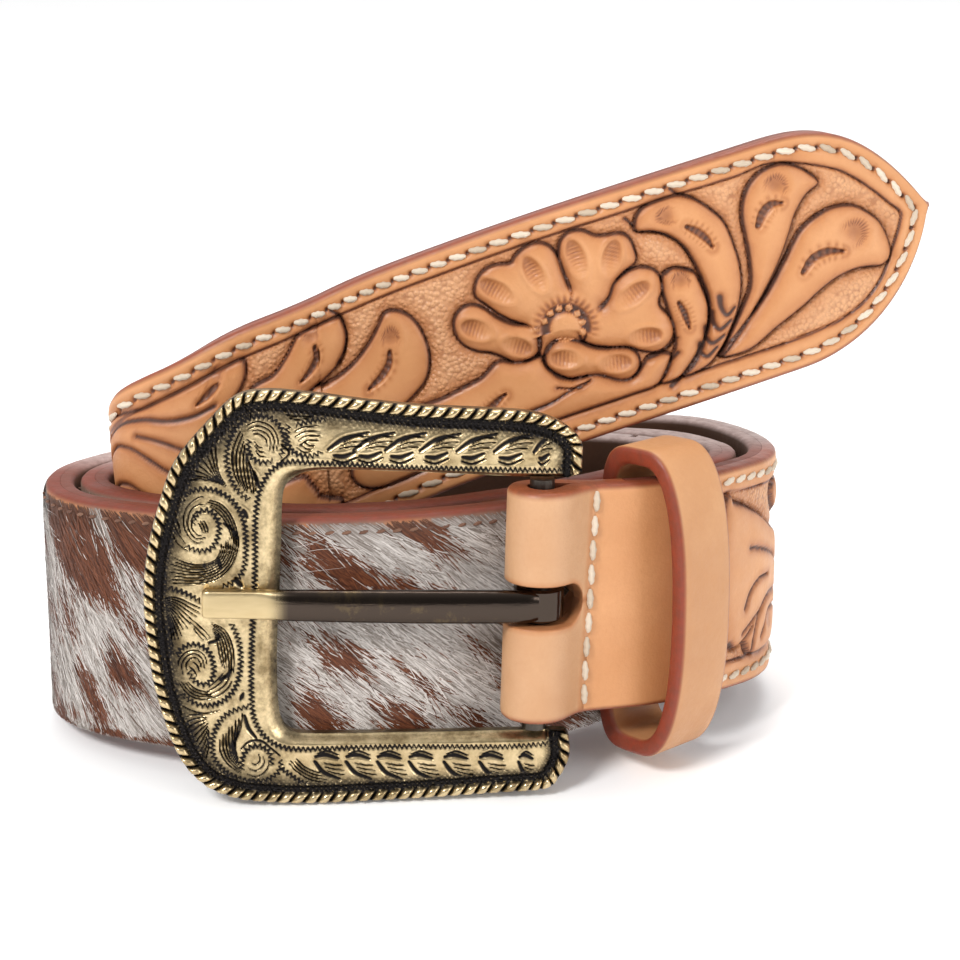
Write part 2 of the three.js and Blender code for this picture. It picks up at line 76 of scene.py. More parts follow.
# Middle of the strap, in hundreds of millimetres, from the heel bar to the tip
COURSE = [
    (0.089, -0.448, 0.262), (0.136, -0.422, 0.260), (0.186, -0.399, 0.257),
    (0.235, -0.378, 0.254), (0.284, -0.350, 0.251), (0.330, -0.314, 0.248),
    (0.373, -0.270, 0.244), (0.415, -0.214, 0.238), (0.451, -0.150, 0.231),
    (0.471, -0.082, 0.227), (0.471, -0.016, 0.225), (0.455, 0.046, 0.224),
    (0.425, 0.103, 0.224), (0.379, 0.151, 0.224), (0.308, 0.185, 0.221),
    (0.200, 0.205, 0.216), (0.060, 0.215, 0.211), (-0.115, 0.214, 0.206),
    (-0.300, 0.188, 0.200), (-0.460, 0.142, 0.196), (-0.576, 0.072, 0.193),
    (-0.652, -0.009, 0.1915), (-0.687, -0.078, 0.191), (-0.691, -0.148, 0.191),
    (-0.674, -0.212, 0.191), (-0.634, -0.268, 0.192), (-0.573, -0.313, 0.1935),
    (-0.496, -0.349, 0.195), (-0.398, -0.388, 0.197), (-0.300, -0.414, 0.1995),
    (-0.213, -0.421, 0.202), (-0.138, -0.415, 0.2035), (-0.070, -0.400, 0.205),
    (0, -0.379, 0.2065), (0.070, -0.352, 0.208), (0.140, -0.319, 0.210),
    (0.198, -0.272, 0.2115), (0.256, -0.220, 0.213), (0.318, -0.167, 0.215),
    (0.373, -0.119, 0.216), (0.404, -0.072, 0.216), (0.406, -0.024, 0.216),
    (0.389, 0.017, 0.215), (0.358, 0.059, 0.215), (0.309, 0.094, 0.214),
    (0.225, 0.120, 0.212), (0.110, 0.137, 0.2095), (-0.020, 0.148, 0.206),
    (-0.150, 0.149, 0.204), (-0.290, 0.132, 0.200), (-0.434, 0.089, 0.196),
    (-0.540, 0.028, 0.194), (-0.606, -0.040, 0.1925), (-0.634, -0.100, 0.192),
    (-0.631, -0.160, 0.192), (-0.601, -0.216, 0.193), (-0.546, -0.262, 0.194),
    (-0.476, -0.297, 0.1955), (-0.382, -0.333, 0.198), (-0.292, -0.358, 0.200),
    (-0.208, -0.364, 0.202), (-0.130, -0.356, 0.2035), (-0.060, -0.338, 0.205),
    (0.010, -0.308, 0.207), (0.080, -0.274, 0.2085), (0.140, -0.238, 0.2105),
    (0.192, -0.203, 0.212), (0.250, -0.155, 0.214),
    (0.305, -0.106, 0.216), (0.341, -0.062, 0.216), (0.346, -0.022, 0.216),
    (0.324, 0.012, 0.215), (0.288, 0.038, 0.2145), (0.235, 0.063, 0.214),
    (0.140, 0.080, 0.2135), (0.030, 0.092, 0.213), (-0.080, 0.095, 0.215),
    (-0.200, 0.089, 0.216), (-0.315, 0.070, 0.220), (-0.413, 0.037, 0.226),
    (-0.486, -0.008, 0.236), (-0.540, -0.063, 0.249), (-0.564, -0.120, 0.269),
    (-0.558, -0.177, 0.301), (-0.513, -0.215, 0.345), (-0.441, -0.231, 0.395),
    (-0.350, -0.227, 0.450), (-0.237, -0.214, 0.503), (-0.115, -0.202, 0.556),
    (0.007, -0.194, 0.601), (0.130, -0.191, 0.644), (0.252, -0.185, 0.684),
    (0.374, -0.172, 0.722), (0.494, -0.150, 0.758), (0.613, -0.118, 0.794),
    (0.718, -0.081, 0.827),
]
# Buckle frame, outer edge then inner edge, as shares of its reach and half height
OUTLINE = [
    (-0.098, 0.645, -0.059, 0.613), (-0.093, 0.784, -0.040, 0.611),
    (-0.045, 0.870, -0.008, 0.610), (0.031, 0.918, 0.067, 0.611),
    (0.143, 0.932, 0.167, 0.617), (0.293, 0.941, 0.288, 0.625),
    (0.442, 0.963, 0.417, 0.631), (0.590, 0.995, 0.517, 0.633),
    (0.700, 1.005, 0.590, 0.623), (0.772, 0.972, 0.627, 0.590),
    (0.842, 0.848, 0.647, 0.543), (0.920, 0.665, 0.653, 0.460),
    (0.957, 0.475, 0.654, 0.324), (0.987, 0.247, 0.656, 0.170),
    (0.998, 0.020, 0.658, 0.015), (0.988, -0.222, 0.662, -0.170),
    (0.966, -0.463, 0.662, -0.355), (0.916, -0.744, 0.658, -0.500),
    (0.853, -0.898, 0.648, -0.593), (0.772, -0.972, 0.623, -0.642),
    (0.687, -0.994, 0.577, -0.654), (0.572, -1.000, 0.475, -0.653),
    (0.418, -0.987, 0.358, -0.648), (0.263, -0.970, 0.233, -0.644),
    (0.108, -0.948, 0.100, -0.636), (-0.032, -0.926, 0, -0.633),
    (-0.070, -0.864, -0.033, -0.633), (-0.094, -0.759, -0.060, -0.636),
    (-0.090, -0.654, -0.082, -0.640),
]


def ease(x):
    t = np.clip(x, 0, 1)
    return t * t * (3 - 2 * t)


def smooth_curve(points, step=0.4, closed=False):
    """Catmull-Rom curve through 2-D points, sampled about every step."""
    p = np.asarray(points, float)
    if closed:
        p = np.vstack([p[-1], p, p[0], p[1]])
    else:
        p = np.vstack([2 * p[0] - p[1], p, 2 * p[-1] - p[-2]])
    parts = []
    for a, b, c, d in zip(p[:-3], p[1:-2], p[2:-1], p[3:]):
        k = max(2, int(np.linalg.norm(c - b) / step) + 1)
        t = np.linspace(0, 1, k, endpoint=False)[:, None]
        parts.append(0.5 * (2 * b + (c - a) * t + (2 * a - 5 * b + 4 * c - d) * t ** 2
                            + (3 * b - a - 3 * c + d) * t ** 3))
    line = np.vstack(parts)
    return line if closed else np.vstack([line, p[-2]])


# The strap's course: natural cubic spline over chord length, then a table of true length
class Course:
    def __init__(self):
        p = np.array(COURSE) * 100
        n = len(p)
        self.p = p
        self.knots = np.concatenate([[0], np.cumsum(np.linalg.norm(np.diff(p, axis=0), axis=1))])
        h = np.diff(self.knots)
        system = np.eye(n)
        right = np.zeros((n, 3))
        for i in range(1, n - 1):
            system[i, i - 1:i + 2] = h[i - 1], 2 * (h[i - 1] + h[i]), h[i]
            right[i] = 6 * ((p[i + 1] - p[i]) / h[i] - (p[i] - p[i - 1]) / h[i - 1])
        self.m = np.linalg.solve(system, right)
        self.t = np.linspace(0, self.knots[-1], 4201)
        at = self.spline(self.t)[0]
        self.s = np.concatenate([[0], np.cumsum(np.linalg.norm(np.diff(at, axis=0), axis=1))])
        self.length = self.s[-1]

    def spline(self, t):
        k = np.clip(np.searchsorted(self.knots, t, "right") - 1, 0, len(self.knots) - 2)
        h = (self.knots[k + 1] - self.knots[k])[:, None]
        b = (t - self.knots[k])[:, None] / h
        a = 1 - b
        p0, p1, m0, m1 = self.p[k], self.p[k + 1], self.m[k], self.m[k + 1]
        value = a * p0 + b * p1 + ((a ** 3 - a) * m0 + (b ** 3 - b) * m1) * h * h / 6
        rate = (p1 - p0) / h + ((3 * b * b - 1) * m1 - (3 * a * a - 1) * m0) * h / 6
        return value, rate

    def at(self, s):
        """Middle, direction, outward normal and cross line at distances s."""
        s = np.atleast_1d(np.asarray(s, float))
        inside = np.clip(s, 0, self.length)
        value, rate = self.spline(np.interp(inside, self.s, self.t))
        along = rate / np.linalg.norm(rate, axis=1)[:, None]
        value = value + along * (s - inside)[:, None]
        out = np.stack([along[:, 1], -along[:, 0], 0 * s], 1)
        out /= np.linalg.norm(out, axis=1)[:, None]
        across = np.cross(out, along)
        across /= np.linalg.norm(across, axis=1)[:, None]
        left = self.length - s
        upright = ease((left - 70) / 45) * ease((s - 12) / 33)
        slope = along[:, 2] / np.hypot(along[:, 0], along[:, 1])
        past = BEND_FROM_TIP - left
        lean = BEND_LEAN * ease(1 + past / BEND_BEFORE) * ease(1 - past / BEND_AFTER)
        rule = across + along * (upright * slope)[:, None] + out * lean[:, None]
        return value, along, out, rule


course = Course()
LENGTH = course.length


def half_width(s, side):
    full = (FOLD_WIDTH + (WIDTH - FOLD_WIDTH) * ease((s - 16) / 44)) / 2
    left = LENGTH - s
    if side > 0:
        full = full - 0.4 * ease((230 - left) / 60)
        return np.maximum(full * (1 - np.maximum(1 - left / TIP_UPPER, 0) ** 3), BLUNT)
    radius = (TIP_LOWER ** 2 + full ** 2) / (2 * full)
    arc = full - radius + np.sqrt(np.maximum(radius ** 2 - (TIP_LOWER - left) ** 2, 0))
    return np.where(left >= TIP_LOWER, full, np.maximum(arc, BLUNT))


def world(p):
    """From the upright coil to the leaning part, and to metres."""
    q = np.empty_like(p)
    c, k = math.cos(LEAN), math.sin(LEAN)
    q[..., 0] = p[..., 0]
    q[..., 1] = p[..., 1] * c + p[..., 2] * k
    q[..., 2] = -p[..., 1] * k + p[..., 2] * c
    return (q - OFFSET) / 1000


def on_strap(s, v, n):
    """World points for equal arrays of s, v and n."""
    at, _, out, rule = course.at(np.ravel(s))
    p = at + out * np.ravel(n)[:, None] + rule * np.ravel(v)[:, None]
    return world(p)


# Buckle axes, from the bar
BAR, _, _, UP = (x[0] for x in course.at(0))
FAR = np.array([-math.cos(FRAME_YAW), -math.sin(FRAME_YAW), 0])
FAR = FAR - FAR.dot(UP) * UP
FAR /= np.linalg.norm(FAR)
NEAR = np.cross(UP, FAR)


def on_buckle(a, b, n):
    a, b, n = (np.ravel(x)[:, None] for x in np.broadcast_arrays(a, b, n))
    return world(BAR + FAR * a + UP * b + NEAR * n)


# Meshes
def make_object(name, verts, faces, attributes=(), sharp=50):
    """A smooth mesh from vertices in metres and faces of 3 or 4 corners."""
    mesh = bpy.data.meshes.new(name)
    faces = [np.asarray(f, np.int32) for f in (faces if isinstance(faces, list) else [faces])]
    sizes = np.concatenate([np.full(len(f), f.shape[1], np.int32) for f in faces])
    corners = np.concatenate([f.ravel() for f in faces])
    mesh.vertices.add(len(verts))
    mesh.vertices.foreach_set("co", np.ascontiguousarray(verts, np.float32).ravel())
    mesh.loops.add(len(corners))
    mesh.loops.foreach_set("vertex_index", corners)
    mesh.polygons.add(len(sizes))
    starts = np.concatenate([[0], np.cumsum(sizes)[:-1]]).astype(np.int32)
    mesh.polygons.foreach_set("loop_start", starts)
    mesh.polygons.foreach_set("use_smooth", np.ones(len(sizes), bool))
    for key, values in dict(attributes).items():
        layer = mesh.attributes.new(key, "FLOAT", "POINT")
        layer.data.foreach_set("value", np.ascontiguousarray(values, np.float32).ravel())
    mesh.update(calc_edges=True)
    mesh.validate()
    if sharp:
        mesh.set_sharp_from_angle(angle=math.radians(sharp))
    obj = bpy.data.objects.new(name, mesh)
    bpy.context.scene.collection.objects.link(obj)
    return obj


def grid_faces(rows, cols, wrap_cols=False, wrap_rows=False, base=0):
    r = np.arange(rows if wrap_rows else rows - 1)
    c = np.arange(cols if wrap_cols else cols - 1)
    r, c = np.meshgrid(r, c, indexing="ij")
    r1, c1 = (r + 1) % rows, (c + 1) % cols
    quads = np.stack([r * cols + c, r1 * cols + c, r1 * cols + c1, r * cols + c1], -1)
    return quads.reshape(-1, 4) + base


def turned_out(verts, faces):
    """The faces, turned so that the closed mesh faces out."""
    v = np.asarray(verts)
    a, b, c = v[faces[:, 0]], v[faces[:, 1]], v[faces[:, 2]]
    size = np.einsum("ij,ij->i", a, np.cross(b, c)).sum()
    if faces.shape[1] == 4:
        d = v[faces[:, 3]]
        size += np.einsum("ij,ij->i", a, np.cross(c, d)).sum()
    return faces if size > 0 else faces[:, ::-1]


def tube(rings):
    """Closed mesh from equal rings (rows, cols, 3), with its ends capped by a fan of quads."""
    rows, cols = rings.shape[:2]
    verts = rings.reshape(-1, 3)
    faces = grid_faces(rows, cols, wrap_cols=True)
    caps = []
    for base in (0, (rows - 1) * cols):
        for k in range(cols // 2 - 1):
            quad = [base + k, base + k + 1, base + cols - 2 - k, base + cols - 1 - k]
            caps.append(quad if base else quad[::-1])
    return verts, turned_out(verts, np.vstack([faces, np.array(caps)]))


def join(parts):
    """One mesh from (verts, faces, attributes) parts with the same attribute names."""
    verts, faces, values, base = [], [], {}, 0
    for v, f, at in parts:
        verts.append(v)
        faces.append(f + base)
        base += len(v)
        for key, x in at.items():
            values.setdefault(key, []).append(x)
    return np.vstack(verts), np.vstack(faces), {k: np.concatenate(x) for k, x in values.items()}


def distance(points, line, reach):
    """Distance from 2-D points to a polyline, with the share along it; far ones get inf."""
    d = np.full(len(points), np.inf)
    along = np.zeros(len(points))
    lo, hi = line.min(0) - reach, line.max(0) + reach
    near = np.where(((points > lo) & (points < hi)).all(1))[0]
    if not len(near):
        return d, along
    a, b = line[:-1], line[1:]
    ab = b - a
    square = np.maximum((ab ** 2).sum(1), 1e-12)
    for part in np.array_split(near, max(1, len(near) * len(a) // 3000000)):
        p = points[part][:, None]
        t = np.clip(((p - a) * ab).sum(-1) / square, 0, 1)
        gap = np.linalg.norm(p - a - t[..., None] * ab, axis=-1)
        k = gap.argmin(1)
        i = np.arange(len(part))
        d[part] = gap[i, k]
        along[part] = (k + t[i, k]) / len(a)
    return d, along


def inside(points, ring):
    """Which 2-D points lie within a closed ring."""
    result = np.zeros(len(points), bool)
    lo, hi = ring.min(0), ring.max(0)
    near = np.where(((points >= lo) & (points <= hi)).all(1))[0]
    p = points[near]
    x0, y0 = ring[:, 0], ring[:, 1]
    x1, y1 = np.roll(x0, -1), np.roll(y0, -1)
    count = np.zeros(len(p), int)
    for a, b, c, d in zip(x0, y0, x1, y1):
        if b != d:
            cross = (b > p[:, 1]) != (d > p[:, 1])
            count += cross & (p[:, 0] < (c - a) * (p[:, 1] - b) / (d - b) + a)
    result[near] = count % 2 == 1
    return result


# Tooling. u is measured from the strap's tip, v across it. Each table is one knife cut.
TAIL_SHAPES = {
    "leaf_low": [(40, -12.7), (36, -9.8), (32.2, -7), (29, -4.2), (26, -1), (24, 1.3),
                 (22, 3.2), (19, 4.5), (16, 4.9), (13, 4.2), (10.8, 2.4), (9, 0), (8.2, -3.2),
                 (8.5, -5.8), (10.2, -6.9), (12.5, -6.4), (15, -6), (18.5, -6.4), (22, -7.7),
                 (25, -9.1), (30, -11), (35, -13)],
    "leaf_mid": [(39.6, -12.7), (35, -9.3), (31.5, -6), (28.6, -2.9), (26.2, 0), (24.2, 3),
                 (22.4, 6), (20, 8.3), (17.6, 9.5), (18.8, 11.5), (20.6, 13.2), (23, 14.3),
                 (25.8, 14.2), (28.2, 13), (30, 10.7), (30.9, 8), (31.1, 5), (31.4, 1),
                 (32.3, -3), (34.6, -6.4), (37.2, -9.6)],
    "leaf_top": [(47.4, 11.9), (46.4, 13.6), (44.4, 14.5), (39.8, 14.5), (37.5, 13.2),
                 (35.2, 10.5), (33.8, 8), (33.2, 4), (33.2, 0), (33.8, -3), (35.2, -6.2),
                 (37, -8.8), (39.4, -11.6), (42.5, -13.4), (46.5, -14), (43.5, -11.2),
                 (41.2, -8.8), (39.8, -6), (39.2, -3), (39.4, 0), (40, 3.5), (41, 6.5),
                 (42.8, 8.8), (45, 10.2), (47.2, 10.8)],
    "leaf_small": [(45.2, 3), (43.5, 3.5), (42, 2.9), (40.4, 1.8), (39.8, -1), (39.6, -4),
                   (40.4, -7), (42, -10), (44.5, -12.6), (47, -13.9), (50.3, -13.8),
                   (48.2, -11.2), (46.6, -9), (45.9, -6), (46, -2), (45.9, 1)],
    "petal_left": [(74.3, 9.5), (73.2, 11.7), (71.5, 12.8), (69.5, 13), (67.3, 12.5),
                   (66.2, 13.3), (64.5, 14.1), (62.5, 14.2), (61, 13.3), (60.1, 11.5),
                   (59.9, 8.5), (59.8, 5), (61.5, 3.4), (64, 3), (66.6, 1.6), (68.5, 2.5),
                   (71, 4.6), (73, 7.3)],
    "petal_top": [(59.7, 4.4), (60, 8), (59.9, 11), (59, 13.2), (57.3, 14.2), (55.3, 13.8),
                  (53.6, 12.4), (51.8, 11.9), (50, 11.6), (48.8, 10.6), (48.4, 8.8),
                  (48.7, 6.4), (51, 5.3), (53, 4), (54.6, 1.9), (57, 0.6), (59, 1.4)],
    "petal_right": [(54.8, 1.9), (53, 4), (51, 5.1), (48.8, 5.4), (46.8, 4.6), (45.8, 3),
                    (45.9, 0.8), (46.9, -0.6), (47, -1.9), (46.2, -3.4), (45.8, -5.3),
                    (46.4, -7.1), (48.2, -8.4), (50, -8.6), (52.2, -7.6), (54, -6.4),
                    (57, -5.4), (59.6, -4), (60.6, -2.4), (58.8, 0.2)],
    "lobe_left": [(79.4, 5), (78.9, 7), (77.3, 8.2), (75.5, 8.3), (73.8, 7.2), (72, 4.8),
                  (70, 3), (68, 2), (66.8, 0.2), (67, -1.8), (68.2, -3), (70, -3.3),
                  (72, -2.8), (73.5, -1.3), (75, 0), (77, 1), (78.8, 2.8)],
    "lobe_low": [(67.2, -4.6), (66.5, -2.8), (65, -1.8), (63, -1.8), (61.2, -3),
                 (59.5, -4.5), (57.5, -5.5), (55.5, -6), (53.5, -6.8), (52.6, -8.4),
                 (53, -10.2), (54.6, -11.4), (56.5, -11.3), (58.3, -10.2), (60, -9.2),
                 (62.3, -8.7), (64.3, -8.4), (66, -7), (67, -5.7)],
    "heart": [(67.5, -3.6), (66.8, 0.2), (66.2, 1.4), (64, 2.7), (61.4, 2.6), (59.8, 0.8),
              (59.6, -1.8), (60.6, -3.2), (63, -2), (65, -2)],
    "leaf_under": [(100, -9), (92, -4.4), (85, -4.4), (80.5, -3.9), (77.5, -3.4), (74.4, -1.9),
                   (72, -2.9), (70, -3.4), (67.6, -3.6), (67, -6), (64.3, -8.5), (60, -9.2),
                   (56.5, -11.3), (54, -11.3), (50.8, -9), (47.6, -10), (50.6, -13.6),
                   (56, -14), (66, -14), (80, -14), (96, -14)],
    "lobe_far": [(108, -3), (106, 5), (103, 5.4), (100, 5.8), (97, 6.8), (94, 8.6),
                 (91.8, 10.5), (90.1, 12), (88, 11.6), (86, 10), (84.8, 7.5), (84.4, 4.5),
                 (84.8, 2), (86, -0.3), (88, -1.8), (92, -3.6), (98, -5)],
    "lobe_back": [(118, 3), (117, 9.2), (112.5, 10.2), (110, 12), (108.4, 13.8), (107, 14.5),
                  (100, 14.5), (98.6, 13.4), (98.2, 11), (98.9, 9.2), (100, 7.8),
                  (102, 6.7), (106, 5.4)],
    "lobe_end": [(150, -12), (150, 14.5), (135, 14.5), (122, 14.5), (118, 14.4),
                 (117.4, 12.6), (118.2, 10.8), (120, 9.4), (123, 8), (126, 0), (120, -6),
                 (109, -6.6), (106.6, -8.6), (105.4, -11), (105.2, -14)],
}
TAIL_CUTS = [
    # line, width at its thick end, width at its thin end
    ([(40.6, 15.8), (39.6, 14.6), (37.5, 13.2)], 0.5, 0.4),
    ([(48.4, 13.4), (47.8, 12.4), (47.2, 11)], 0.5, 0.3),
    ([(47.2, 10.8), (45, 10.2), (42.8, 8.8), (41, 6.5), (40, 3.5), (39.4, 0), (39.2, -3),
      (39.8, -6), (41.2, -8.8), (43.5, -11.2), (46.5, -13.6), (49, -14.8)], 0.35, 0.75),
    ([(45, 3), (43.5, 3.5), (42, 2.9), (40.5, 1.9)], 0.5, 0.4),
    ([(37.6, -3.2), (37.8, -5), (37.2, -6.4), (35.7, -5.6)], 1.05, 0.5),
    ([(39.4, -5.3), (39.6, -7), (38.9, -8.3), (36.8, -7.5)], 1.05, 0.55),
    ([(41, -7.3), (41.3, -9), (40.6, -10.1), (38.5, -9.5)], 1.05, 0.55),
    ([(42.6, -9.6), (42.8, -11), (42, -11.9), (40.1, -11)], 1.0, 0.5),
    ([(46.4, -9.8), (48, -11), (49.8, -13.2)], 0.65, 0.3),
    ([(45.8, -7.5), (48.2, -8.9), (51.2, -9.3)], 0.3, 0.55),
    ([(67.6, -4.2), (66.9, -6), (66, -7.6), (64, -8.7)], 0.3, 0.5),
    ([(66.8, -9), (63.5, -10.2), (61, -9.6)], 0.25, 0.2),
    ([(73, -11.3), (68.5, -11), (65, -10.2), (61.4, -9.7)], 0.65, 0.3),
    ([(100.8, 15.9), (99.2, 14.6), (98.4, 13.2), (98.2, 11), (99, 9), (100.4, 7.6)], 0.5, 0.7),
    ([(150, 12), (142, 14), (136, 13.2), (131, 11.3), (126.6, 10.2), (123, 10)], 0.45, 0.7),
    ([(137, 11.4), (133.5, 9.6), (130.4, 7.6), (127.6, 5.6)], 0.5, 0.4),
    ([(150, 8), (143, 11.5), (139, 10.6), (135, 7.6), (131.6, 4.6), (128, 2)], 0.4, 0.45),
    ([(150, 2), (144, 6.4), (140, 6), (136.5, 3.4), (133, 0.4), (129, -2)], 0.5, 0.4),
    ([(150, -4), (145, 0.6), (141, 1), (137, -1.4), (133, -5)], 0.5, 0.4),
    ([(160, 14), (153, 12), (150, 9)], 0.4, 0.4),
]
# Short deep slots: line and width
TAIL_SLOTS = [
    ([(23.6, -3.6), (21.6, -2), (19, -1.6), (16.3, -2.4)], 1.25),
    ([(28.9, 5.9), (27.6, 7.7), (26, 8.6), (24.3, 8.3)], 1.3),
    ([(39.7, 9.3), (38.3, 8), (37.2, 6.4), (36.7, 5)], 1.1),
    ([(44.1, -2), (43.7, -4), (43.6, -6.4)], 0.95),
    ([(80, -9.2), (77.8, -8.5), (76, -7.6), (74.9, -7.2)], 1.05),
    ([(90.9, 5.9), (91.5, 4.2), (93.2, 2.8), (95.6, 1.8)], 1.2),
    ([(104.6, 11.7), (104.4, 10), (105.6, 8.6), (107.4, 7.6)], 1.2),
    ([(122.4, 12.6), (124, 12.1), (125.8, 11.6)], 1.2),
]
# Thumbprint hollows: centre, direction of the outer end in degrees, length, width
TAIL_HOLLOWS = [
    (70.8, 9.2, 132, 6.4, 3.1), (64.3, 9.8, 100, 6.2, 2.9), (57.4, 10, 92, 6.4, 3),
    (52.2, 8.4, 60, 6, 3), (50.6, 1.6, 20, 6.2, 3), (50.6, -5.5, -12, 5.4, 2.9),
    (76, 4.4, 145, 5.4, 3.2), (70.5, -0.5, -35, 5, 3), (64, -4.9, 160, 5, 3),
    (56.4, -8.2, -12, 5.2, 2.9),
]
# Crescent hollows at the round end of leaves: centre, direction, length, width
TAIL_CRESCENTS = [
    (14.6, -0.4, 20, 6.4, 4.6), (25, 10.8, 55, 5, 4), (41.4, 11.9, 175, 5.2, 3),
    (90.4, 7.4, 75, 5, 3.4), (105.2, 13, 95, 4.4, 3), (123, 13.4, 60, 4.4, 2.6),
    (43, 0.6, 80, 5, 3.2),
]
SEEDS = [(65.2, 1.9), (63.9, 2.8), (62.4, 3.1), (60.9, 2.7), (59.9, 1.4), (59.6, -0.2),
         (60, -1.7)]
BORDER_TOP, BORDER_LOW = 14.55, -14.0
BORDER_TIP = [(30, 14.6), (25, 14.9), (20.5, 13.7), (15, 11.1), (12, 8.8), (9, 5.5), (6.6, 2.4),
              (5.2, 0.6), (5.3, -0.7), (7, -3.8), (9.2, -7.2), (12, -10), (15, -11.9), (19, -13.2),
              (24, -13.7), (30, -14)]
# Tooling next to the keeper, s and v, and its turn beyond the corner
FRONT_SHAPES = {
    "spray": [(34, 13.4), (37, 12.8), (41, 11.5), (46, 9.6), (51, 7), (58, 4.6), (64, 1), (70, -5),
              (64, -11), (56, -14), (44, -14), (41, -11.4), (38, -12), (35, -10), (33, 0)],
    "lobe_a": [(52, 13), (58, 14), (66, 13.6), (74, 11), (79, 7), (76, 2), (70, 0), (65, 3.4),
               (59, 7.4), (54, 9.6)],
    "lobe_b": [(74, -3), (80, 1), (88, 2), (95, -1), (97, -6), (93, -11), (86, -13.6), (78, -12),
               (73, -8)],
    "lobe_c": [(84, 6), (90, 8), (96, 12), (103, 13.6), (110, 11), (112, 5), (108, 0), (102, -3),
               (99, 1), (94, 3)],
    "lobe_d": [(99, -8), (104, -6), (110, -5), (117, -7), (118, -14), (104, -14)],
}
FRONT_CUTS = [
    ([(36.2, 12.9), (41, 11.5), (46, 9.6), (51, 7), (56, 5)], 0.85, 0.4),
    ([(41.5, 4.6), (46, 3.8), (52, 1.8), (58, -1.6)], 0.6, 0.4),
    ([(40.4, -5.6), (42, -3), (45, -1.3), (49, -1)], 0.7, 0.3),
    ([(39.8, -9.8), (43, -8), (46.5, -6.4)], 0.5, 0.3),
    ([(43.8, -14), (43.8, -11.5), (45, -8), (47.5, -5.6), (51, -4.6), (57, -5.4)], 0.6, 0.5),
    ([(47, -11.6), (49, -8.9), (52, -7.7), (57, -8.4), (61, -10.6)], 0.8, 0.3),
    ([(36.4, -10.9), (38, -12), (40, -11.5), (43, -9)], 0.9, 0.3),
]
FRONT_SLOTS = [([(61, 10.4), (65, 9.6), (69, 7.2)], 1.2), ([(81, -4), (85, -5), (89, -7.6)], 1.2),
               ([(100, 8.6), (104, 8), (107, 5)], 1.2)]
FRONT_CRESCENTS = [(73, 7, -30, 6, 4), (92, -7, -30, 6, 4), (108, 6, -20, 6, 4), (52, -9, 10, 6, 4)]


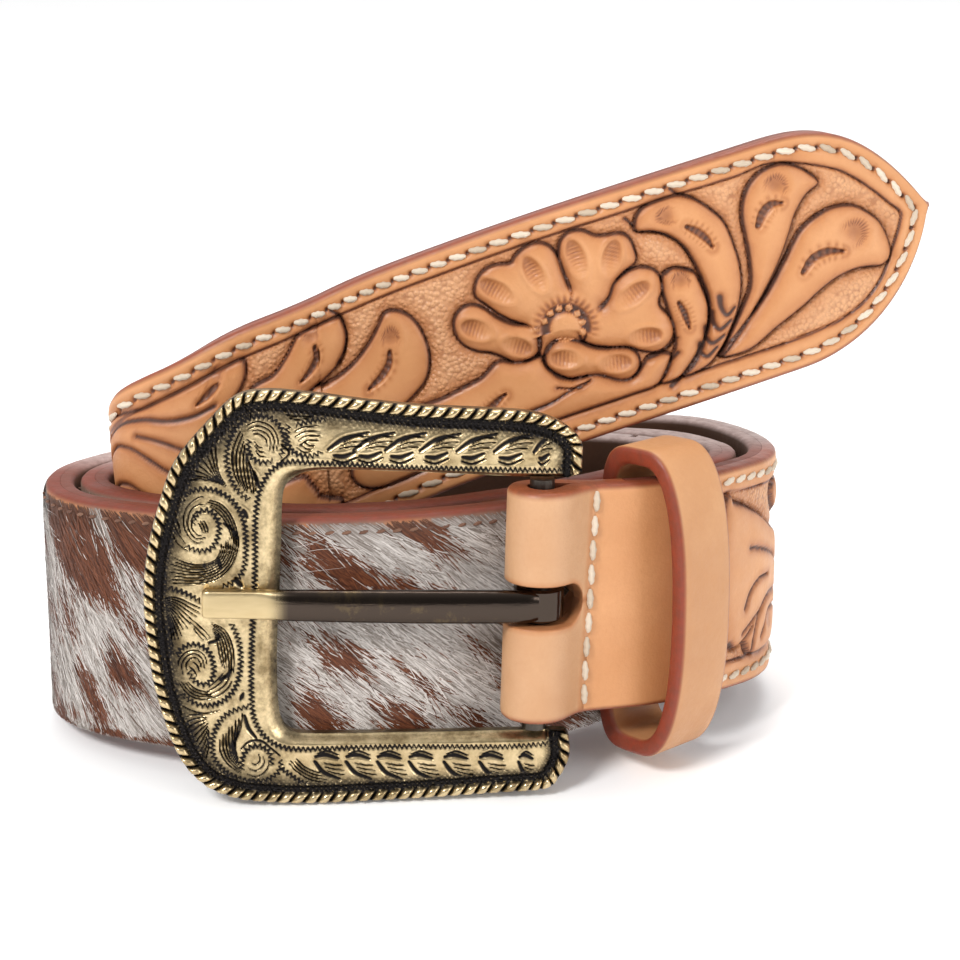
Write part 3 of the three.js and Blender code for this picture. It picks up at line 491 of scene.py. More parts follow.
def relief(points, border, shapes, cuts, slots, hollows, crescents):
    """Height, stain with painted shade, and matted ground of tooled leather at 2-D points."""
    height = np.zeros(len(points))
    stain_and_shade = np.zeros(len(points))
    raised = np.zeros(len(points), bool)
    for ring in shapes.values():
        line = smooth_curve(ring, closed=True)
        within = inside(points, line)
        d, _ = distance(points, np.vstack([line, line[0]]), 3)
        raised |= within
        height += np.where(within, 0.36 * (1 - np.exp(-(d / 1.5) ** 1.5)),
                           -0.42 * np.exp(-(d / 1.4) ** 2))
        height -= 0.3 * np.exp(-(d / 0.36) ** 2)
        stain_and_shade = np.maximum(stain_and_shade, 0.97 * np.exp(-(d / 0.4) ** 2.4))
        # painted shade: a soft stained gradient round each shape for the rounded fall of its bevel,
        # over the antique stain
        stain_and_shade = np.maximum(stain_and_shade, np.where(within, 0.46, 0.52) * np.exp(-(d / 1.6) ** 1.3))
    ground = np.where(border & ~raised, 1.0, 0.0)
    height -= 0.42 * ground
    for line, thick, thin in cuts:
        d, t = distance(points, smooth_curve(line), 2)
        w = (thick + (thin - thick) * t) * 0.62
        height -= 0.5 * np.exp(-(d / (w * 1.1)) ** 2)
        stain_and_shade = np.maximum(stain_and_shade, np.exp(-(d / (w * 1.05)) ** 3))
        # painted shade: a soft red-brown halo beside the cut, over its antique stain
        stain_and_shade = np.maximum(stain_and_shade, 0.5 * np.exp(-(d / (w + 0.8)) ** 2))
    for line, width in slots:
        d, t = distance(points, smooth_curve(line), 3)
        w = width * (0.35 + 0.65 * np.sin(np.pi * np.clip(t * 0.85 + 0.12, 0, 1))) * 0.62
        ribs = np.sin(t * 40)
        height -= 0.7 * np.exp(-(d / (w * 1.05)) ** 4) * (1 + 0.15 * ribs)
        stain_and_shade = np.maximum(stain_and_shade, 0.94 * np.exp(-(d / w) ** 6) * (0.92 + 0.08 * ribs))
        comb = np.exp(-((d - w - 0.55) / 0.6) ** 2) * (0.62 + 0.38 * ribs)
        stain_and_shade = np.maximum(stain_and_shade, 0.42 * comb)
    for x, y, turn, length, width in hollows:
        c, k = math.cos(math.radians(turn)), math.sin(math.radians(turn))
        # u grows away from the tip, so a turn counts to the right of the strap's picture
        p = points - (x, y)
        along, side = -p[:, 0] * c + p[:, 1] * k, p[:, 0] * k + p[:, 1] * c
        r = (along / (length / 2)) ** 2 + (side / (width / 2)) ** 2
        bowl = np.clip(1 - r, 0, 1)
        ribs = np.sin(along * 2 * np.pi / 0.62)
        outer = ease(along / length + 0.5)
        height -= bowl * (0.45 + 0.6 * outer) + 0.08 * ribs * bowl ** 0.5
        height += 0.16 * np.exp(-((r - 1.4) / 0.5) ** 2)
        # antique stain and painted shade in the hollow, darkest at its deep outer end
        rim = np.exp(-((r - 0.62) / 0.42) ** 2) * outer
        stain_and_shade = np.maximum(stain_and_shade, 0.5 * rim)
        stain_and_shade = np.maximum(stain_and_shade, bowl ** 0.45 * (0.24 + 0.62 * outer) * (0.74 + 0.26 * ribs))
    for x, y, turn, length, width in crescents:
        c, k = math.cos(math.radians(turn)), math.sin(math.radians(turn))
        p = points - (x, y)
        along, side = -p[:, 0] * c + p[:, 1] * k, p[:, 0] * k + p[:, 1] * c
        r = np.sqrt((along / (length / 2)) ** 2 + (side / (width / 2)) ** 2)
        front = ease(along / length * 1.5 + 0.6)
        ring = np.exp(-((r - 0.8) / 0.34) ** 2) * front
        height -= 0.5 * np.exp(-(r / 0.9) ** 2) * front
        height += 0.14 * np.exp(-((r - 1.5) / 0.35) ** 2) * front
        comb = 0.72 + 0.28 * np.sin(np.arctan2(side, along) * 34)
        # antique stain and painted shade in the crescent's hollow
        stain_and_shade = np.maximum(stain_and_shade, 0.8 * ring * comb)
        stain_and_shade = np.maximum(stain_and_shade, 0.62 * np.exp(-(r / 1.15) ** 2) * front)
    return height, stain_and_shade, ground


def seam_line():
    """Line of the free end's stitching in u and v, inside the strap's edge."""
    u = np.linspace(0.3, 27, 120)
    upper = np.stack([u, half_width(LENGTH - u, 1)], 1)[::-1]
    lower = np.stack([u, -half_width(LENGTH - u, -1)], 1)
    rim = np.vstack([[(x, 18.6) for x in np.arange(190, 28, -2.0)], upper, lower,
                     [(x, -19.0) for x in np.arange(29, 191, 2.0)]])
    step = np.gradient(rim, axis=0)
    normal = np.stack([step[:, 1], -step[:, 0]], 1) / np.linalg.norm(step, axis=1)[:, None]
    line = rim - normal * 2.35
    gap, _ = distance(line, rim, 5)
    return line[gap > 2.2]


STITCH = 3.55


def seam_marks(points):
    """Groove and needle holes under the free end's stitching."""
    line = SEAM
    steps = np.concatenate([[0], np.cumsum(np.linalg.norm(np.diff(line, axis=0), axis=1))])
    d, _ = distance(points, line, 2)
    h = -0.2 * np.exp(-(d / 0.7) ** 2)
    stain_and_shade = 0.34 * np.exp(-(d / 0.75) ** 2)
    at = np.arange(0.9 * STITCH, steps[-1], STITCH)
    for x, y in np.stack([np.interp(at, steps, line[:, i]) for i in (0, 1)], 1):
        near = np.where((abs(points[:, 0] - x) < 1.5) & (abs(points[:, 1] - y) < 1.5))[0]
        q = np.hypot(points[near, 0] - x, points[near, 1] - y)
        h[near] -= 0.55 * np.exp(-(q / 0.42) ** 2)
        stain_and_shade[near] = np.maximum(stain_and_shade[near], 0.95 * np.exp(-(q / 0.46) ** 4))
        stain_and_shade[near] = np.maximum(stain_and_shade[near], 0.55 * np.exp(-(q / 0.8) ** 2))
    return h, stain_and_shade


def tail_relief(s, v):
    u = LENGTH - s
    points = np.stack([u, v], 1)
    tip = smooth_curve(BORDER_TIP)
    edge = np.vstack([[(400, BORDER_TOP)], tip, [(400, BORDER_LOW)]])
    border = inside(points, edge)
    h, stain_and_shade, ground = relief(points, border, TAIL_SHAPES, TAIL_CUTS, TAIL_SLOTS, TAIL_HOLLOWS,
                              TAIL_CRESCENTS)
    ground *= 1 - ease((u - 150) / 12)
    h *= 1 - 0.7 * ease((u - 150) / 12)
    d, _ = distance(points, edge, 2)
    h -= 0.28 * np.exp(-(d / 0.25) ** 2)
    stain_and_shade = np.maximum(stain_and_shade, 0.97 * np.exp(-(d / 0.24) ** 2))
    # painted shade: a soft halo beside the border cut
    stain_and_shade = np.maximum(stain_and_shade, 0.45 * np.exp(-(d / 0.7) ** 2))
    seam_h, seam_stain = seam_marks(points)
    h, stain_and_shade = h + seam_h, np.maximum(stain_and_shade, seam_stain)
    # flower heart: rays, a ring of seeds and a dome
    p = points - (62.3, -0.2)
    r, turn = np.hypot(p[:, 0], p[:, 1]), np.arctan2(p[:, 1], -p[:, 0])
    upper = ease((turn + 0.75) / 0.3) * ease((3.6 - turn) / 0.3)
    # petals run together there
    merged = ease((6.8 - r) / 2.2) * upper
    stain_and_shade = stain_and_shade * (1 - merged)
    h = h * (1 - merged) + 0.1 * merged
    rays = 0.5 + 0.5 * np.sin(turn * 30)
    outer = np.exp(-((r - 4.5) / 0.95) ** 2) * upper
    h -= outer * 0.14 * rays
    stain_and_shade = np.maximum(stain_and_shade, outer * (0.24 + 0.44 * rays))
    ring = np.exp(-((r - 3.25) / 0.95) ** 4) * upper
    h -= 0.45 * ring
    stain_and_shade = np.maximum(stain_and_shade, 0.96 * ring)
    dome = np.clip(1 - (r / 2.3) ** 2, 0, 1)
    h += 0.3 * dome - 0.05 * dome ** 0.5 * np.sin(turn * 22)
    stain_and_shade = np.where(r < 2.4, np.minimum(stain_and_shade, 0.15 + 0.25 * rays * (r / 2.4) ** 2), stain_and_shade)
    for x, y in SEEDS:
        q = np.hypot(points[:, 0] - x, points[:, 1] - y) / 0.58
        bead = np.clip(1 - q ** 2, 0, 1)
        h += 0.6 * np.sqrt(bead)
        stain_and_shade = np.where(q < 0.9, 0.1, stain_and_shade)
    return h, stain_and_shade, ground


def front_relief(s, v):
    points = np.stack([s, v], 1)
    edge = np.array([(20, BORDER_TOP), (400, BORDER_TOP), (400, BORDER_LOW), (20, BORDER_LOW)])
    border = inside(points, edge) & (s > 30)
    h, stain_and_shade, ground = relief(points, border, FRONT_SHAPES, FRONT_CUTS, FRONT_SLOTS, (),
                              FRONT_CRESCENTS)
    d = np.minimum(abs(v - BORDER_TOP), abs(v - BORDER_LOW))
    h -= 0.28 * np.exp(-(d / 0.25) ** 2)
    stain_and_shade = np.maximum(stain_and_shade, 0.97 * np.exp(-(d / 0.26) ** 2))
    # painted shade: a soft halo beside the border cut
    stain_and_shade = np.maximum(stain_and_shade, 0.45 * np.exp(-(d / 0.7) ** 2))
    d = np.minimum(abs(v - 16.4), abs(v + 16.3))
    h -= 0.22 * np.exp(-(d / 0.6) ** 2)
    stain_and_shade = np.maximum(stain_and_shade, 0.3 * np.exp(-(d / 0.6) ** 2))
    keep = ease((s - 28) / 5)
    return h * keep, stain_and_shade * keep, ground * keep


SEAM = seam_line()


def ply(s, inner, outer, columns, relief_at=None, outward=1, radius=0.9, lo=None, hi=None):
    """One ply of the strap as (verts, faces, attributes). Its shown face is at n = outer."""
    s = np.asarray(s, float)
    lo = -half_width(s, -1) if lo is None else lo
    hi = half_width(s, 1) if hi is None else hi
    inner, outer = np.broadcast_to(inner, s.shape), np.broadcast_to(outer, s.shape)
    turn = np.radians([90, 60, 30])
    r = np.minimum(radius, (hi - lo) / 4)
    grow = np.linspace(0, 1, columns)
    face_v = (lo + r)[:, None] + (hi - lo - 2 * r)[:, None] * grow
    low_v = (lo + r)[:, None] - r[:, None] * np.sin(turn)
    top_v = (hi - r)[:, None] + r[:, None] * np.sin(turn[::-1])
    face_n = np.repeat(outer[:, None], columns, 1)
    fall = (r * outward)[:, None]
    low_n = outer[:, None] - fall * (1 - np.cos(turn))
    top_n = outer[:, None] - fall * (1 - np.cos(turn[::-1]))
    zero = np.zeros_like(face_v)
    stain_and_shade, ground = zero, zero
    if relief_at:
        h, stain_and_shade, ground = (x.reshape(face_v.shape) for x in relief_at(
            np.repeat(s, columns), face_v.ravel()))
        edge = np.minimum(face_v - lo[:, None], hi[:, None] - face_v)
        keep = ease((edge - 0.9) / 0.8)
        face_n = face_n + outward * h * keep
        stain_and_shade, ground = stain_and_shade * keep, ground * keep
    v = np.hstack([lo[:, None], low_v, face_v, top_v, hi[:, None]])
    n = np.hstack([inner[:, None], low_n, face_n, top_n, inner[:, None]])
    k = v.shape[1]
    at, _, out, rule = course.at(s)
    rings = at[:, None] + out[:, None] * n[..., None] + rule[:, None] * v[..., None]
    verts, faces = tube(world(rings))
    pad = np.zeros((len(s), 4))
    edge = np.minimum(v - lo[:, None], hi[:, None] - v)
    values = {
        "stain_and_shade": np.hstack([pad, stain_and_shade, pad]).ravel(),
        "ground": np.hstack([pad, ground, pad]).ravel(),
        "edge": ease(1 - edge / 1.3).ravel(),
        # painted light: the rims are made paler towards the back of the coil, by position alone
        "pale": ease((verts[:, 1] - 0.002) / 0.016),
        "s": np.repeat(s, k),
        "v": v.ravel(),
    }
    return verts, faces, values


# Materials
def material(name):
    mat = bpy.data.materials.new(name)
    mat.use_nodes = True
    mat.node_tree.nodes.clear()
    return mat, mat.node_tree.nodes, mat.node_tree.links


class Shader:
    """Small helper for procedural node materials on object coordinates."""

    def __init__(self, name):
        self.mat, self.nodes, self.links = material(name)
        self.out = self.nodes.new("ShaderNodeOutputMaterial")
        self.bsdf = self.nodes.new("ShaderNodeBsdfPrincipled")
        self.links.new(self.bsdf.outputs[0], self.out.inputs[0])
        self.place = self.nodes.new("ShaderNodeTexCoord").outputs["Object"]
        self.normal = None

    def put(self, socket, value):
        target = self.bsdf.inputs[socket]
        if hasattr(value, "links"):
            self.links.new(value, target)
        else:
            target.default_value = value

    def attribute(self, name):
        node = self.nodes.new("ShaderNodeAttribute")
        node.attribute_name = name
        return node.outputs["Fac"]

    def noise(self, scale, detail=3, rough=0.55, stretch=None):
        node = self.nodes.new("ShaderNodeTexNoise")
        node.inputs["Scale"].default_value = scale
        node.inputs["Detail"].default_value = detail
        node.inputs["Roughness"].default_value = rough
        self.links.new(self.stretched(stretch), node.inputs["Vector"])
        return node.outputs["Fac"]

    def cells(self, scale, stretch=None):
        node = self.nodes.new("ShaderNodeTexVoronoi")
        node.inputs["Scale"].default_value = scale
        self.links.new(self.stretched(stretch), node.inputs["Vector"])
        return node.outputs["Distance"]

    def stretched(self, stretch):
        if not stretch:
            return self.place
        node = self.nodes.new("ShaderNodeMapping")
        node.inputs["Scale"].default_value = stretch
        self.links.new(self.place, node.inputs["Vector"])
        return node.outputs[0]

    def math(self, kind, a, b=0.0, c=0.0):
        node = self.nodes.new("ShaderNodeMath")
        node.operation = kind
        for socket, value in zip(node.inputs, (a, b, c)):
            if hasattr(value, "links"):
                self.links.new(value, socket)
            else:
                socket.default_value = value
        return node.outputs[0]

    def ramp(self, value, lo, hi, to_lo=0.0, to_hi=1.0):
        node = self.nodes.new("ShaderNodeMapRange")
        self.links.new(value, node.inputs[0])
        for k, x in zip((1, 2, 3, 4), (lo, hi, to_lo, to_hi)):
            node.inputs[k].default_value = x
        return node.outputs[0]

    def mix(self, share, a, b, kind="MIX"):
        node = self.nodes.new("ShaderNodeMix")
        node.data_type = "RGBA"
        node.blend_type = kind
        for socket, value in ((node.inputs[0], share), (node.inputs[6], a), (node.inputs[7], b)):
            if hasattr(value, "links"):
                self.links.new(value, socket)
            elif isinstance(value, (int, float)):
                socket.default_value = value
            else:
                socket.default_value = (*value, 1)
        return node.outputs[2]

    def bump(self, value, depth, strength=1.0):
        node = self.nodes.new("ShaderNodeBump")
        node.inputs["Distance"].default_value = depth
        node.inputs["Strength"].default_value = strength
        self.links.new(value, node.inputs["Height"])
        if self.normal:
            self.links.new(self.normal, node.inputs["Normal"])
        self.normal = node.outputs[0]
        self.links.new(self.normal, self.bsdf.inputs["Normal"])


def leather(name, light, deep, edge_colour, rough=0.42):
    sh = Shader(name)
    stain_and_shade, ground, edge = sh.attribute("stain_and_shade"), sh.attribute("ground"), sh.attribute("edge")
    colour = sh.mix(sh.ramp(sh.noise(55, 5, 0.6), 0.3, 0.7), light, deep)
    pores = sh.noise(1500, 3, 0.65)
    colour = sh.mix(sh.ramp(pores, 0.4, 0.75, 0.0, 0.3), colour, deep)
    # matted ground: warmer, with raised grains and dark pits
    grains = sh.cells(1350)
    colour = sh.mix(sh.math("MULTIPLY", ground, 0.4), colour, (0.72, 0.41, 0.23))
    uneven = sh.ramp(sh.noise(420, 2), 0.35, 0.65, 0.15, 0.75)
    pit = sh.math("MULTIPLY", ground, sh.math("MULTIPLY", uneven, sh.ramp(grains, 0.4, 0.8)))
    colour = sh.mix(pit, colour, (0.24, 0.085, 0.035))
    # antique stain in the cuts, with painted shade round the tooling, in the fold's crease and slot
    # and in the punched holes: through red-brown to dark brown
    blotch = sh.ramp(sh.noise(420, 3, 0.6), 0.3, 0.7, -0.05, 0.06)
    stain_and_shade = sh.math("ADD", stain_and_shade, sh.math("MULTIPLY", blotch, sh.ramp(stain_and_shade, 0.02, 0.2)))
    colour = sh.mix(sh.ramp(stain_and_shade, 0.02, 0.34, 0.0, 0.75), colour, (0.45, 0.17, 0.056))
    colour = sh.mix(sh.ramp(stain_and_shade, 0.3, 0.7, 0.0, 0.85), colour, (0.20, 0.060, 0.024))
    colour = sh.mix(sh.ramp(stain_and_shade, 0.66, 0.97), colour, (0.066, 0.027, 0.017))
    # painted light: rims turn a paler pinkish grey towards the back, by the pale attribute
    rim = sh.mix(sh.attribute("pale"), edge_colour, (0.46, 0.34, 0.31))
    rim = sh.mix(sh.ramp(sh.noise(700, 4, 0.6), 0.35, 0.75, 0.0, 0.5), rim, (0.10, 0.035, 0.02))
    colour = sh.mix(sh.ramp(edge, 0.2, 0.9), colour, rim)
    sh.put("Base Color", colour)
    sh.put("Roughness", sh.ramp(sh.noise(260, 3), 0.3, 0.7, rough - 0.05, rough + 0.12))
    sh.put("Specular IOR Level", 0.45)
    sh.bump(pores, 0.00012, 0.5)
    sh.bump(sh.noise(620, 3, 0.6), 0.00016, 0.5)
    sh.bump(sh.math("MULTIPLY", ground, sh.ramp(grains, 0.0, 0.7, 1.0, 0.0)), 0.00026, 0.9)
    return sh.mat


def plain(name, base, second, rough, metal=0.0, scale=400, depth=0.00005):
    sh = Shader(name)
    grain = sh.noise(scale, 3)
    sh.put("Base Color", sh.mix(sh.ramp(grain, 0.3, 0.7), base, second))
    sh.put("Roughness", rough)
    sh.put("Metallic", metal)
    sh.bump(grain, depth, 0.4)
    return sh.mat


def finish_piece(obj, mat, body, nodes=()):
    obj.data.materials.append(mat)
    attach(obj, body)
    if nodes:
        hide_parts(*nodes)
    return obj


TAN = leather("tooled_tan", (0.645, 0.315, 0.138), (0.54, 0.24, 0.092), (0.25, 0.055, 0.022))
NATURAL = leather("natural_tan", (0.575, 0.335, 0.183), (0.49, 0.255, 0.122),
                  (0.31, 0.08, 0.03), 0.42)
LINING = leather("lining_leather", (0.13, 0.06, 0.032), (0.085, 0.04, 0.022),
                 (0.165, 0.036, 0.017), 0.6)
# the hide's skin is painted dark grey-brown so that the gaps between the hairs read as shade
SKIN = leather("hide_skin", (0.30, 0.20, 0.15), (0.17, 0.10, 0.07), (0.18, 0.03, 0.012), 0.6)

# Strap: free end
TAIL_COLUMNS = 156
near_tip = LENGTH - FINE
tail_s = np.concatenate([np.arange(near_tip, LENGTH - 2.0, 0.22),
                         LENGTH - np.array([1.8, 1.6, 1.4, 1.1, 0.8, 0.55, 0.35, 0.18, 0.0])])
verts, faces, values = ply(tail_s, FACE, HALF, TAIL_COLUMNS, tail_relief)
finish_piece(make_object("tail_leather", verts, faces, values), TAN, "strap",
             ("tip_billet",))
tail_s = np.concatenate([np.arange(HIDE_TO + 0.05, LENGTH - TOOLED - 0.5, 2.0),
                         np.linspace(LENGTH - TOOLED, near_tip, 190)])
verts, faces, values = ply(tail_s, FACE, HALF, TAIL_COLUMNS, tail_relief)
finish_piece(make_object("tail_leather_far", verts, faces, values), TAN, "strap",
             ("tip_billet",))

# Strap: lining, full length
lining_s = np.concatenate([np.arange(14.3, LENGTH - 30, 1.1), np.arange(LENGTH - 30, LENGTH, 0.6),
                           [LENGTH]])
verts, faces, values = ply(lining_s, -FACE, -HALF, 9, outward=-1)
finish_piece(make_object("lining_ply", verts, faces, values), LINING, "strap",
             ("lining_strap",))

# Strap: plain section and tooling beyond the keeper
front_s = np.concatenate([np.arange(8.0, 30, 0.8), np.arange(30, HIDE_FROM + 0.01, 0.42)])
swell = 1 - ease(front_s / 9)
verts, faces, values = ply(front_s, FACE, HALF + 2.95 * swell, 86, front_relief)
finish_piece(make_object("front_leather", verts, faces, values), TAN, "strap",
             ("buckle_billet",))


# Fold round the bar, in two halves beside the prong's slot
def fold():
    t_front = np.array([8.0, 7, 6.3, 6.1, 5.8, 5.3, 4.7, 4, 3.2, 2.4, 1.6, 0.8])
    turns = np.linspace(0, math.pi, 25)
    t_back = np.array([0.8, 1.6, 2.4, 3.2, 4.4, 5.5, 7, 9, 11.5, 14.0])
    at0, along0, out0, rule0 = (x[0] for x in course.at(0))
    middle, normal, rules, inner, outer, slot = [], [], [], [], [], []

    def leaf(t, side):
        at, _, out, rule = (x[0] for x in course.at(t))
        middle.append(at)
        normal.append(out * side)
        rules.append(rule)
        opened, swollen = 1 - ease(t / 5.5), 1 - ease(t / 9)
        inner.append(0.02 + 2.28 * opened)
        outer.append(HALF + 2.95 * swollen)
        slot.append(math.sqrt(max(3.3 ** 2 - max(t - 3.0, 0) ** 2, 0)) if t < 6.3 else 0)

    for t in t_front:
        leaf(t, 1)
    for turn in turns:
        middle.append(at0)
        normal.append(out0 * math.cos(turn) - along0 * math.sin(turn))
        rules.append(rule0)
        inner.append(2.3)
        outer.append(5.3)
        slot.append(3.3)
    for t in t_back:
        leaf(t, -1)
    middle, normal, rules = map(np.array, (middle, normal, rules))
    inner, outer, slot = map(np.array, (inner, outer, slot))
    end = half_width(0.0, 1)
    parts = []
    for side in (1, -1):
        lo = 0.3 + side * slot if side > 0 else np.full(len(slot), -end)
        hi = np.full(len(slot), end) if side > 0 else 0.3 - slot
        columns = 18
        near_r = np.where(slot > 0.3, 0.35, 0.001)
        r_lo, r_hi = (near_r, 0.9) if side > 0 else (0.9, near_r)
        r_lo, r_hi = (np.broadcast_to(x, slot.shape)[:, None] for x in (r_lo, r_hi))
        turn = np.radians([90, 60, 30])
        low, high = lo[:, None], hi[:, None]
        o = outer[:, None]
        v = np.hstack([low, low + r_lo * (1 - np.sin(turn)),
                       low + r_lo + (high - low - r_lo - r_hi) * np.linspace(0, 1, columns),
                       high - r_hi * (1 - np.sin(turn[::-1])), high])
        n = np.hstack([inner[:, None], o - r_lo * (1 - np.cos(turn)), np.repeat(o, columns, 1),
                       o - r_hi * (1 - np.cos(turn[::-1])), inner[:, None]])
        rings = middle[:, None] + normal[:, None] * n[..., None] + rules[:, None] * v[..., None]
        verts, faces = tube(world(rings))
        rim = np.minimum(abs(v - end), abs(v + end))
        edge = ease(1 - rim / 1.5).ravel()
        near_slot = np.minimum(abs(v - low), abs(high - v)).ravel()
        # painted shade: darker beside the prong's slot and in a crease at the fold's front end, by
        # its stitch line
        stain_and_shade = np.where(near_slot < rim.ravel(), 0.45 * ease(1 - near_slot / 0.7), 0)
        crease_shade = np.repeat(np.exp(-((np.arange(len(slot)) - 0.5) / 0.8) ** 2), v.shape[1])
        values = {"stain_and_shade": np.maximum(stain_and_shade, 0.35 * crease_shade), "ground": 0 * edge, "edge": edge}
        parts.append((verts, faces, values))
    return join(parts)


verts, faces, values = fold()
finish_piece(make_object("fold_leather", verts, faces, values), NATURAL, "strap",
             ("buckle_billet",))

# Strap: hide under the hair. Patches: s, v, direction, length, width
PATCHES = [
    (221.5, 13.2, -38, 15, 8.5), (232.5, 15, -18, 13, 5.5), (226.6, -2.6, -62, 11, 3.6),
    (221, -8, -60, 12, 3.6), (217.6, -13, -70, 5, 2.5), (230.6, 2.6, -56, 12, 2.2),
    (233.6, -1.6, -60, 9, 3.4), (235, -17.6, -5, 8, 3), (224, -18, -40, 3, 2),
    (262, 14.4, -24, 13, 6.5), (271, 10.8, -24, 17, 4), (261, 1.8, -32, 10, 4.6),
    (258, -9.6, -62, 13, 5), (270.8, -11, -46, 13, 6), (282, -11.8, -46, 9, 3),
    (287.4, -7.6, -45, 7, 2.4), (276, 18, -5, 7, 2.4), (273, -3.2, -40, 12, 1.6),
    (283, 0.6, -38, 11, 1.4), (292, 14, -30, 9, 3), (296, -13, -40, 11, 5), (246, 12, -36, 14, 6),
    (243, -6, -50, 12, 5), (250, -14, -50, 10, 5), (209, -10, -20, 12, 4), (207, 5, -15, 14, 3.5),
    (226, -16.6, -24, 10, 3.6), (214, -15, -60, 8, 3), (216, 6, -66, 9, 3), (204, 14, -20, 12, 4),
    (219, 17, -8, 16, 5), (234, 18, -6, 14, 4), (248, 18, -6, 14, 3), (229, -18.6, -3, 12, 2.6),
    (216, -17.8, -6, 8, 2.4), (252, -18.4, -5, 12, 2.6),
    (212, -16, -20, 10, 3), (203, -2, -20, 14, 3),
]


def hair_turn(s):
    """Lie of the hair in degrees: steep at the left of the coil, flatter to the right."""
    return -40 - 20 * ease((236 - s) / 12) + 42 * ease((214 - s) / 14)


_wild = np.random.default_rng(3)
WILD = [(x, _wild.uniform(-18, 18), _wild.uniform(-55, -25), _wild.uniform(7, 16),
         _wild.uniform(2.5, 7)) for x in np.concatenate([np.arange(120, 200, 2.6),
                                                         np.arange(300, 600, 2.6)])]


def brown(s, v):
    """Share of brown hair at a place, 0 to 1."""
    amount = np.zeros(np.shape(s))
    wobble = (0.6 * np.sin(s * 1.7 + v * 0.9) + 0.5 * np.sin(s * 0.8 - v * 2.1)
              + 0.4 * np.sin(s * 3.3 + v * 2.4))
    for x, y, turn, length, width in PATCHES + WILD:
        c, k = math.cos(math.radians(turn)), math.sin(math.radians(turn))
        along, side = (s - x) * c + (v - y) * k, -(s - x) * k + (v - y) * c
        r = np.sqrt((along / (length / 2)) ** 2 + (side / (width / 2)) ** 2)
        amount = np.maximum(amount, ease((1.25 + 0.13 * wobble - r) / 0.5))
    return amount


hide_s = np.arange(HIDE_FROM + 0.05, HIDE_TO, 1.0)
verts, faces, values = ply(hide_s, FACE, HALF, 24)
values["stain_and_shade"] = 0.3 * brown(values["s"], values["v"])
finish_piece(make_object("hide_skin", verts, faces, values), SKIN, "strap",
             ("hide_inlay",))


def hair(count, s_from, s_to, length=(8.5, 14.5), width=0.165, seed=1):
    """Flat tapering blades rooted on the hide, as (verts, faces list, attributes)."""
    r = np.random.default_rng(seed)
    s = r.uniform(s_from, s_to, count)
    v = r.uniform(-18.6, 18.4, count)
    turn = np.radians(hair_turn(s) + r.normal(0, 3.4, count) + 5 * np.sin(s * 0.5 + v * 0.3))
    size = r.uniform(*length, count) * (1 - 0.4 * r.random(count) ** 3)
    # keep the hair off the lower rim, and short at the very edges
    room = (v + 19.4) / np.maximum(-np.sin(turn), 0.05)
    size = np.minimum(size, np.maximum(room, 1.2))
    share = brown(s + r.normal(0, 0.25, count), v + r.normal(0, 0.25, count))
    dark = (share > r.uniform(0.25, 0.75, count)).astype(float)
    stray = r.random(count)
    dark = np.where(stray < 0.02, 1 - dark, dark)
    bend = r.normal(0, 0.12, count)
    lift = r.uniform(0.25, 0.6, count)
    rows = np.array([0, 0.36, 0.72, 1.0])
    rise = np.array([0.02, 0.75, 0.95, 0.55])
    wide = np.array([0.7, 1, 0.8, 0.0])
    points, shade = [], []
    base = HALF + 0.02
    tone = r.uniform(0, 1, count)
    for k, (t, h, w) in enumerate(zip(rows, rise, wide)):
        heading = turn + bend * t
        x = s + size * t * np.cos(heading)
        y = v + size * t * np.sin(heading)
        n = base + lift * h + 0.1 * r.random(count)
        for side in ((-1, 1) if w else (0,)):
            dx, dy = -np.sin(heading) * side * w * width / 2, np.cos(heading) * side * w * width / 2
            points.append(np.stack([x + dx, np.clip(y + dy, -19.6, 19.0), n], 1))
            shade.append(np.full(count, t))
    p = np.stack(points, 1)
    verts = on_strap(p[..., 0], p[..., 1], p[..., 2])
    first = np.arange(count)[:, None] * p.shape[1]
    quads = np.vstack([first + np.array([0, 1, 3, 2]), first + np.array([2, 3, 5, 4])])
    tips = first + np.array([4, 5, 6])
    values = {
        "dark": np.repeat(dark, p.shape[1]),
        "tone": np.repeat(tone, p.shape[1]),
        "reach": np.stack(shade, 1).ravel(),
    }
    return verts, [quads, tips], values


def hair_material():
    sh = Shader("hair")
    dark, tone, reach = sh.attribute("dark"), sh.attribute("tone"), sh.attribute("reach")
    white = sh.mix(tone, (0.20, 0.165, 0.14), (0.66, 0.61, 0.57))
    brown_hair = sh.mix(tone, (0.050, 0.015, 0.007), (0.175, 0.055, 0.023))
    colour = sh.mix(dark, white, brown_hair)
    # painted shade: each hair darker towards its root, where the hairs shade one another
    colour = sh.mix(sh.ramp(reach, 0.0, 0.5, 0.5, 0.0), colour, (0.09, 0.05, 0.035))
    sh.put("Base Color", colour)
    sh.put("Roughness", 0.5)
    sh.put("Specular IOR Level", 0.28)
    return sh.mat


HAIR = hair_material()
for name, count, s_from, s_to, seed in (("hair_front", 26000, 200, 302, 1),
                                        ("hair_front_more", 26000, 200, 302, 2),
                                        ("hair_back", 20000, 119, 200, 3),
                                        ("hair_inner", 5000, 302, 592, 4)):
    verts, faces, values = hair(count, s_from, s_to, seed=seed)
    finish_piece(make_object(name, verts, faces, values, sharp=0), HAIR, "strap")


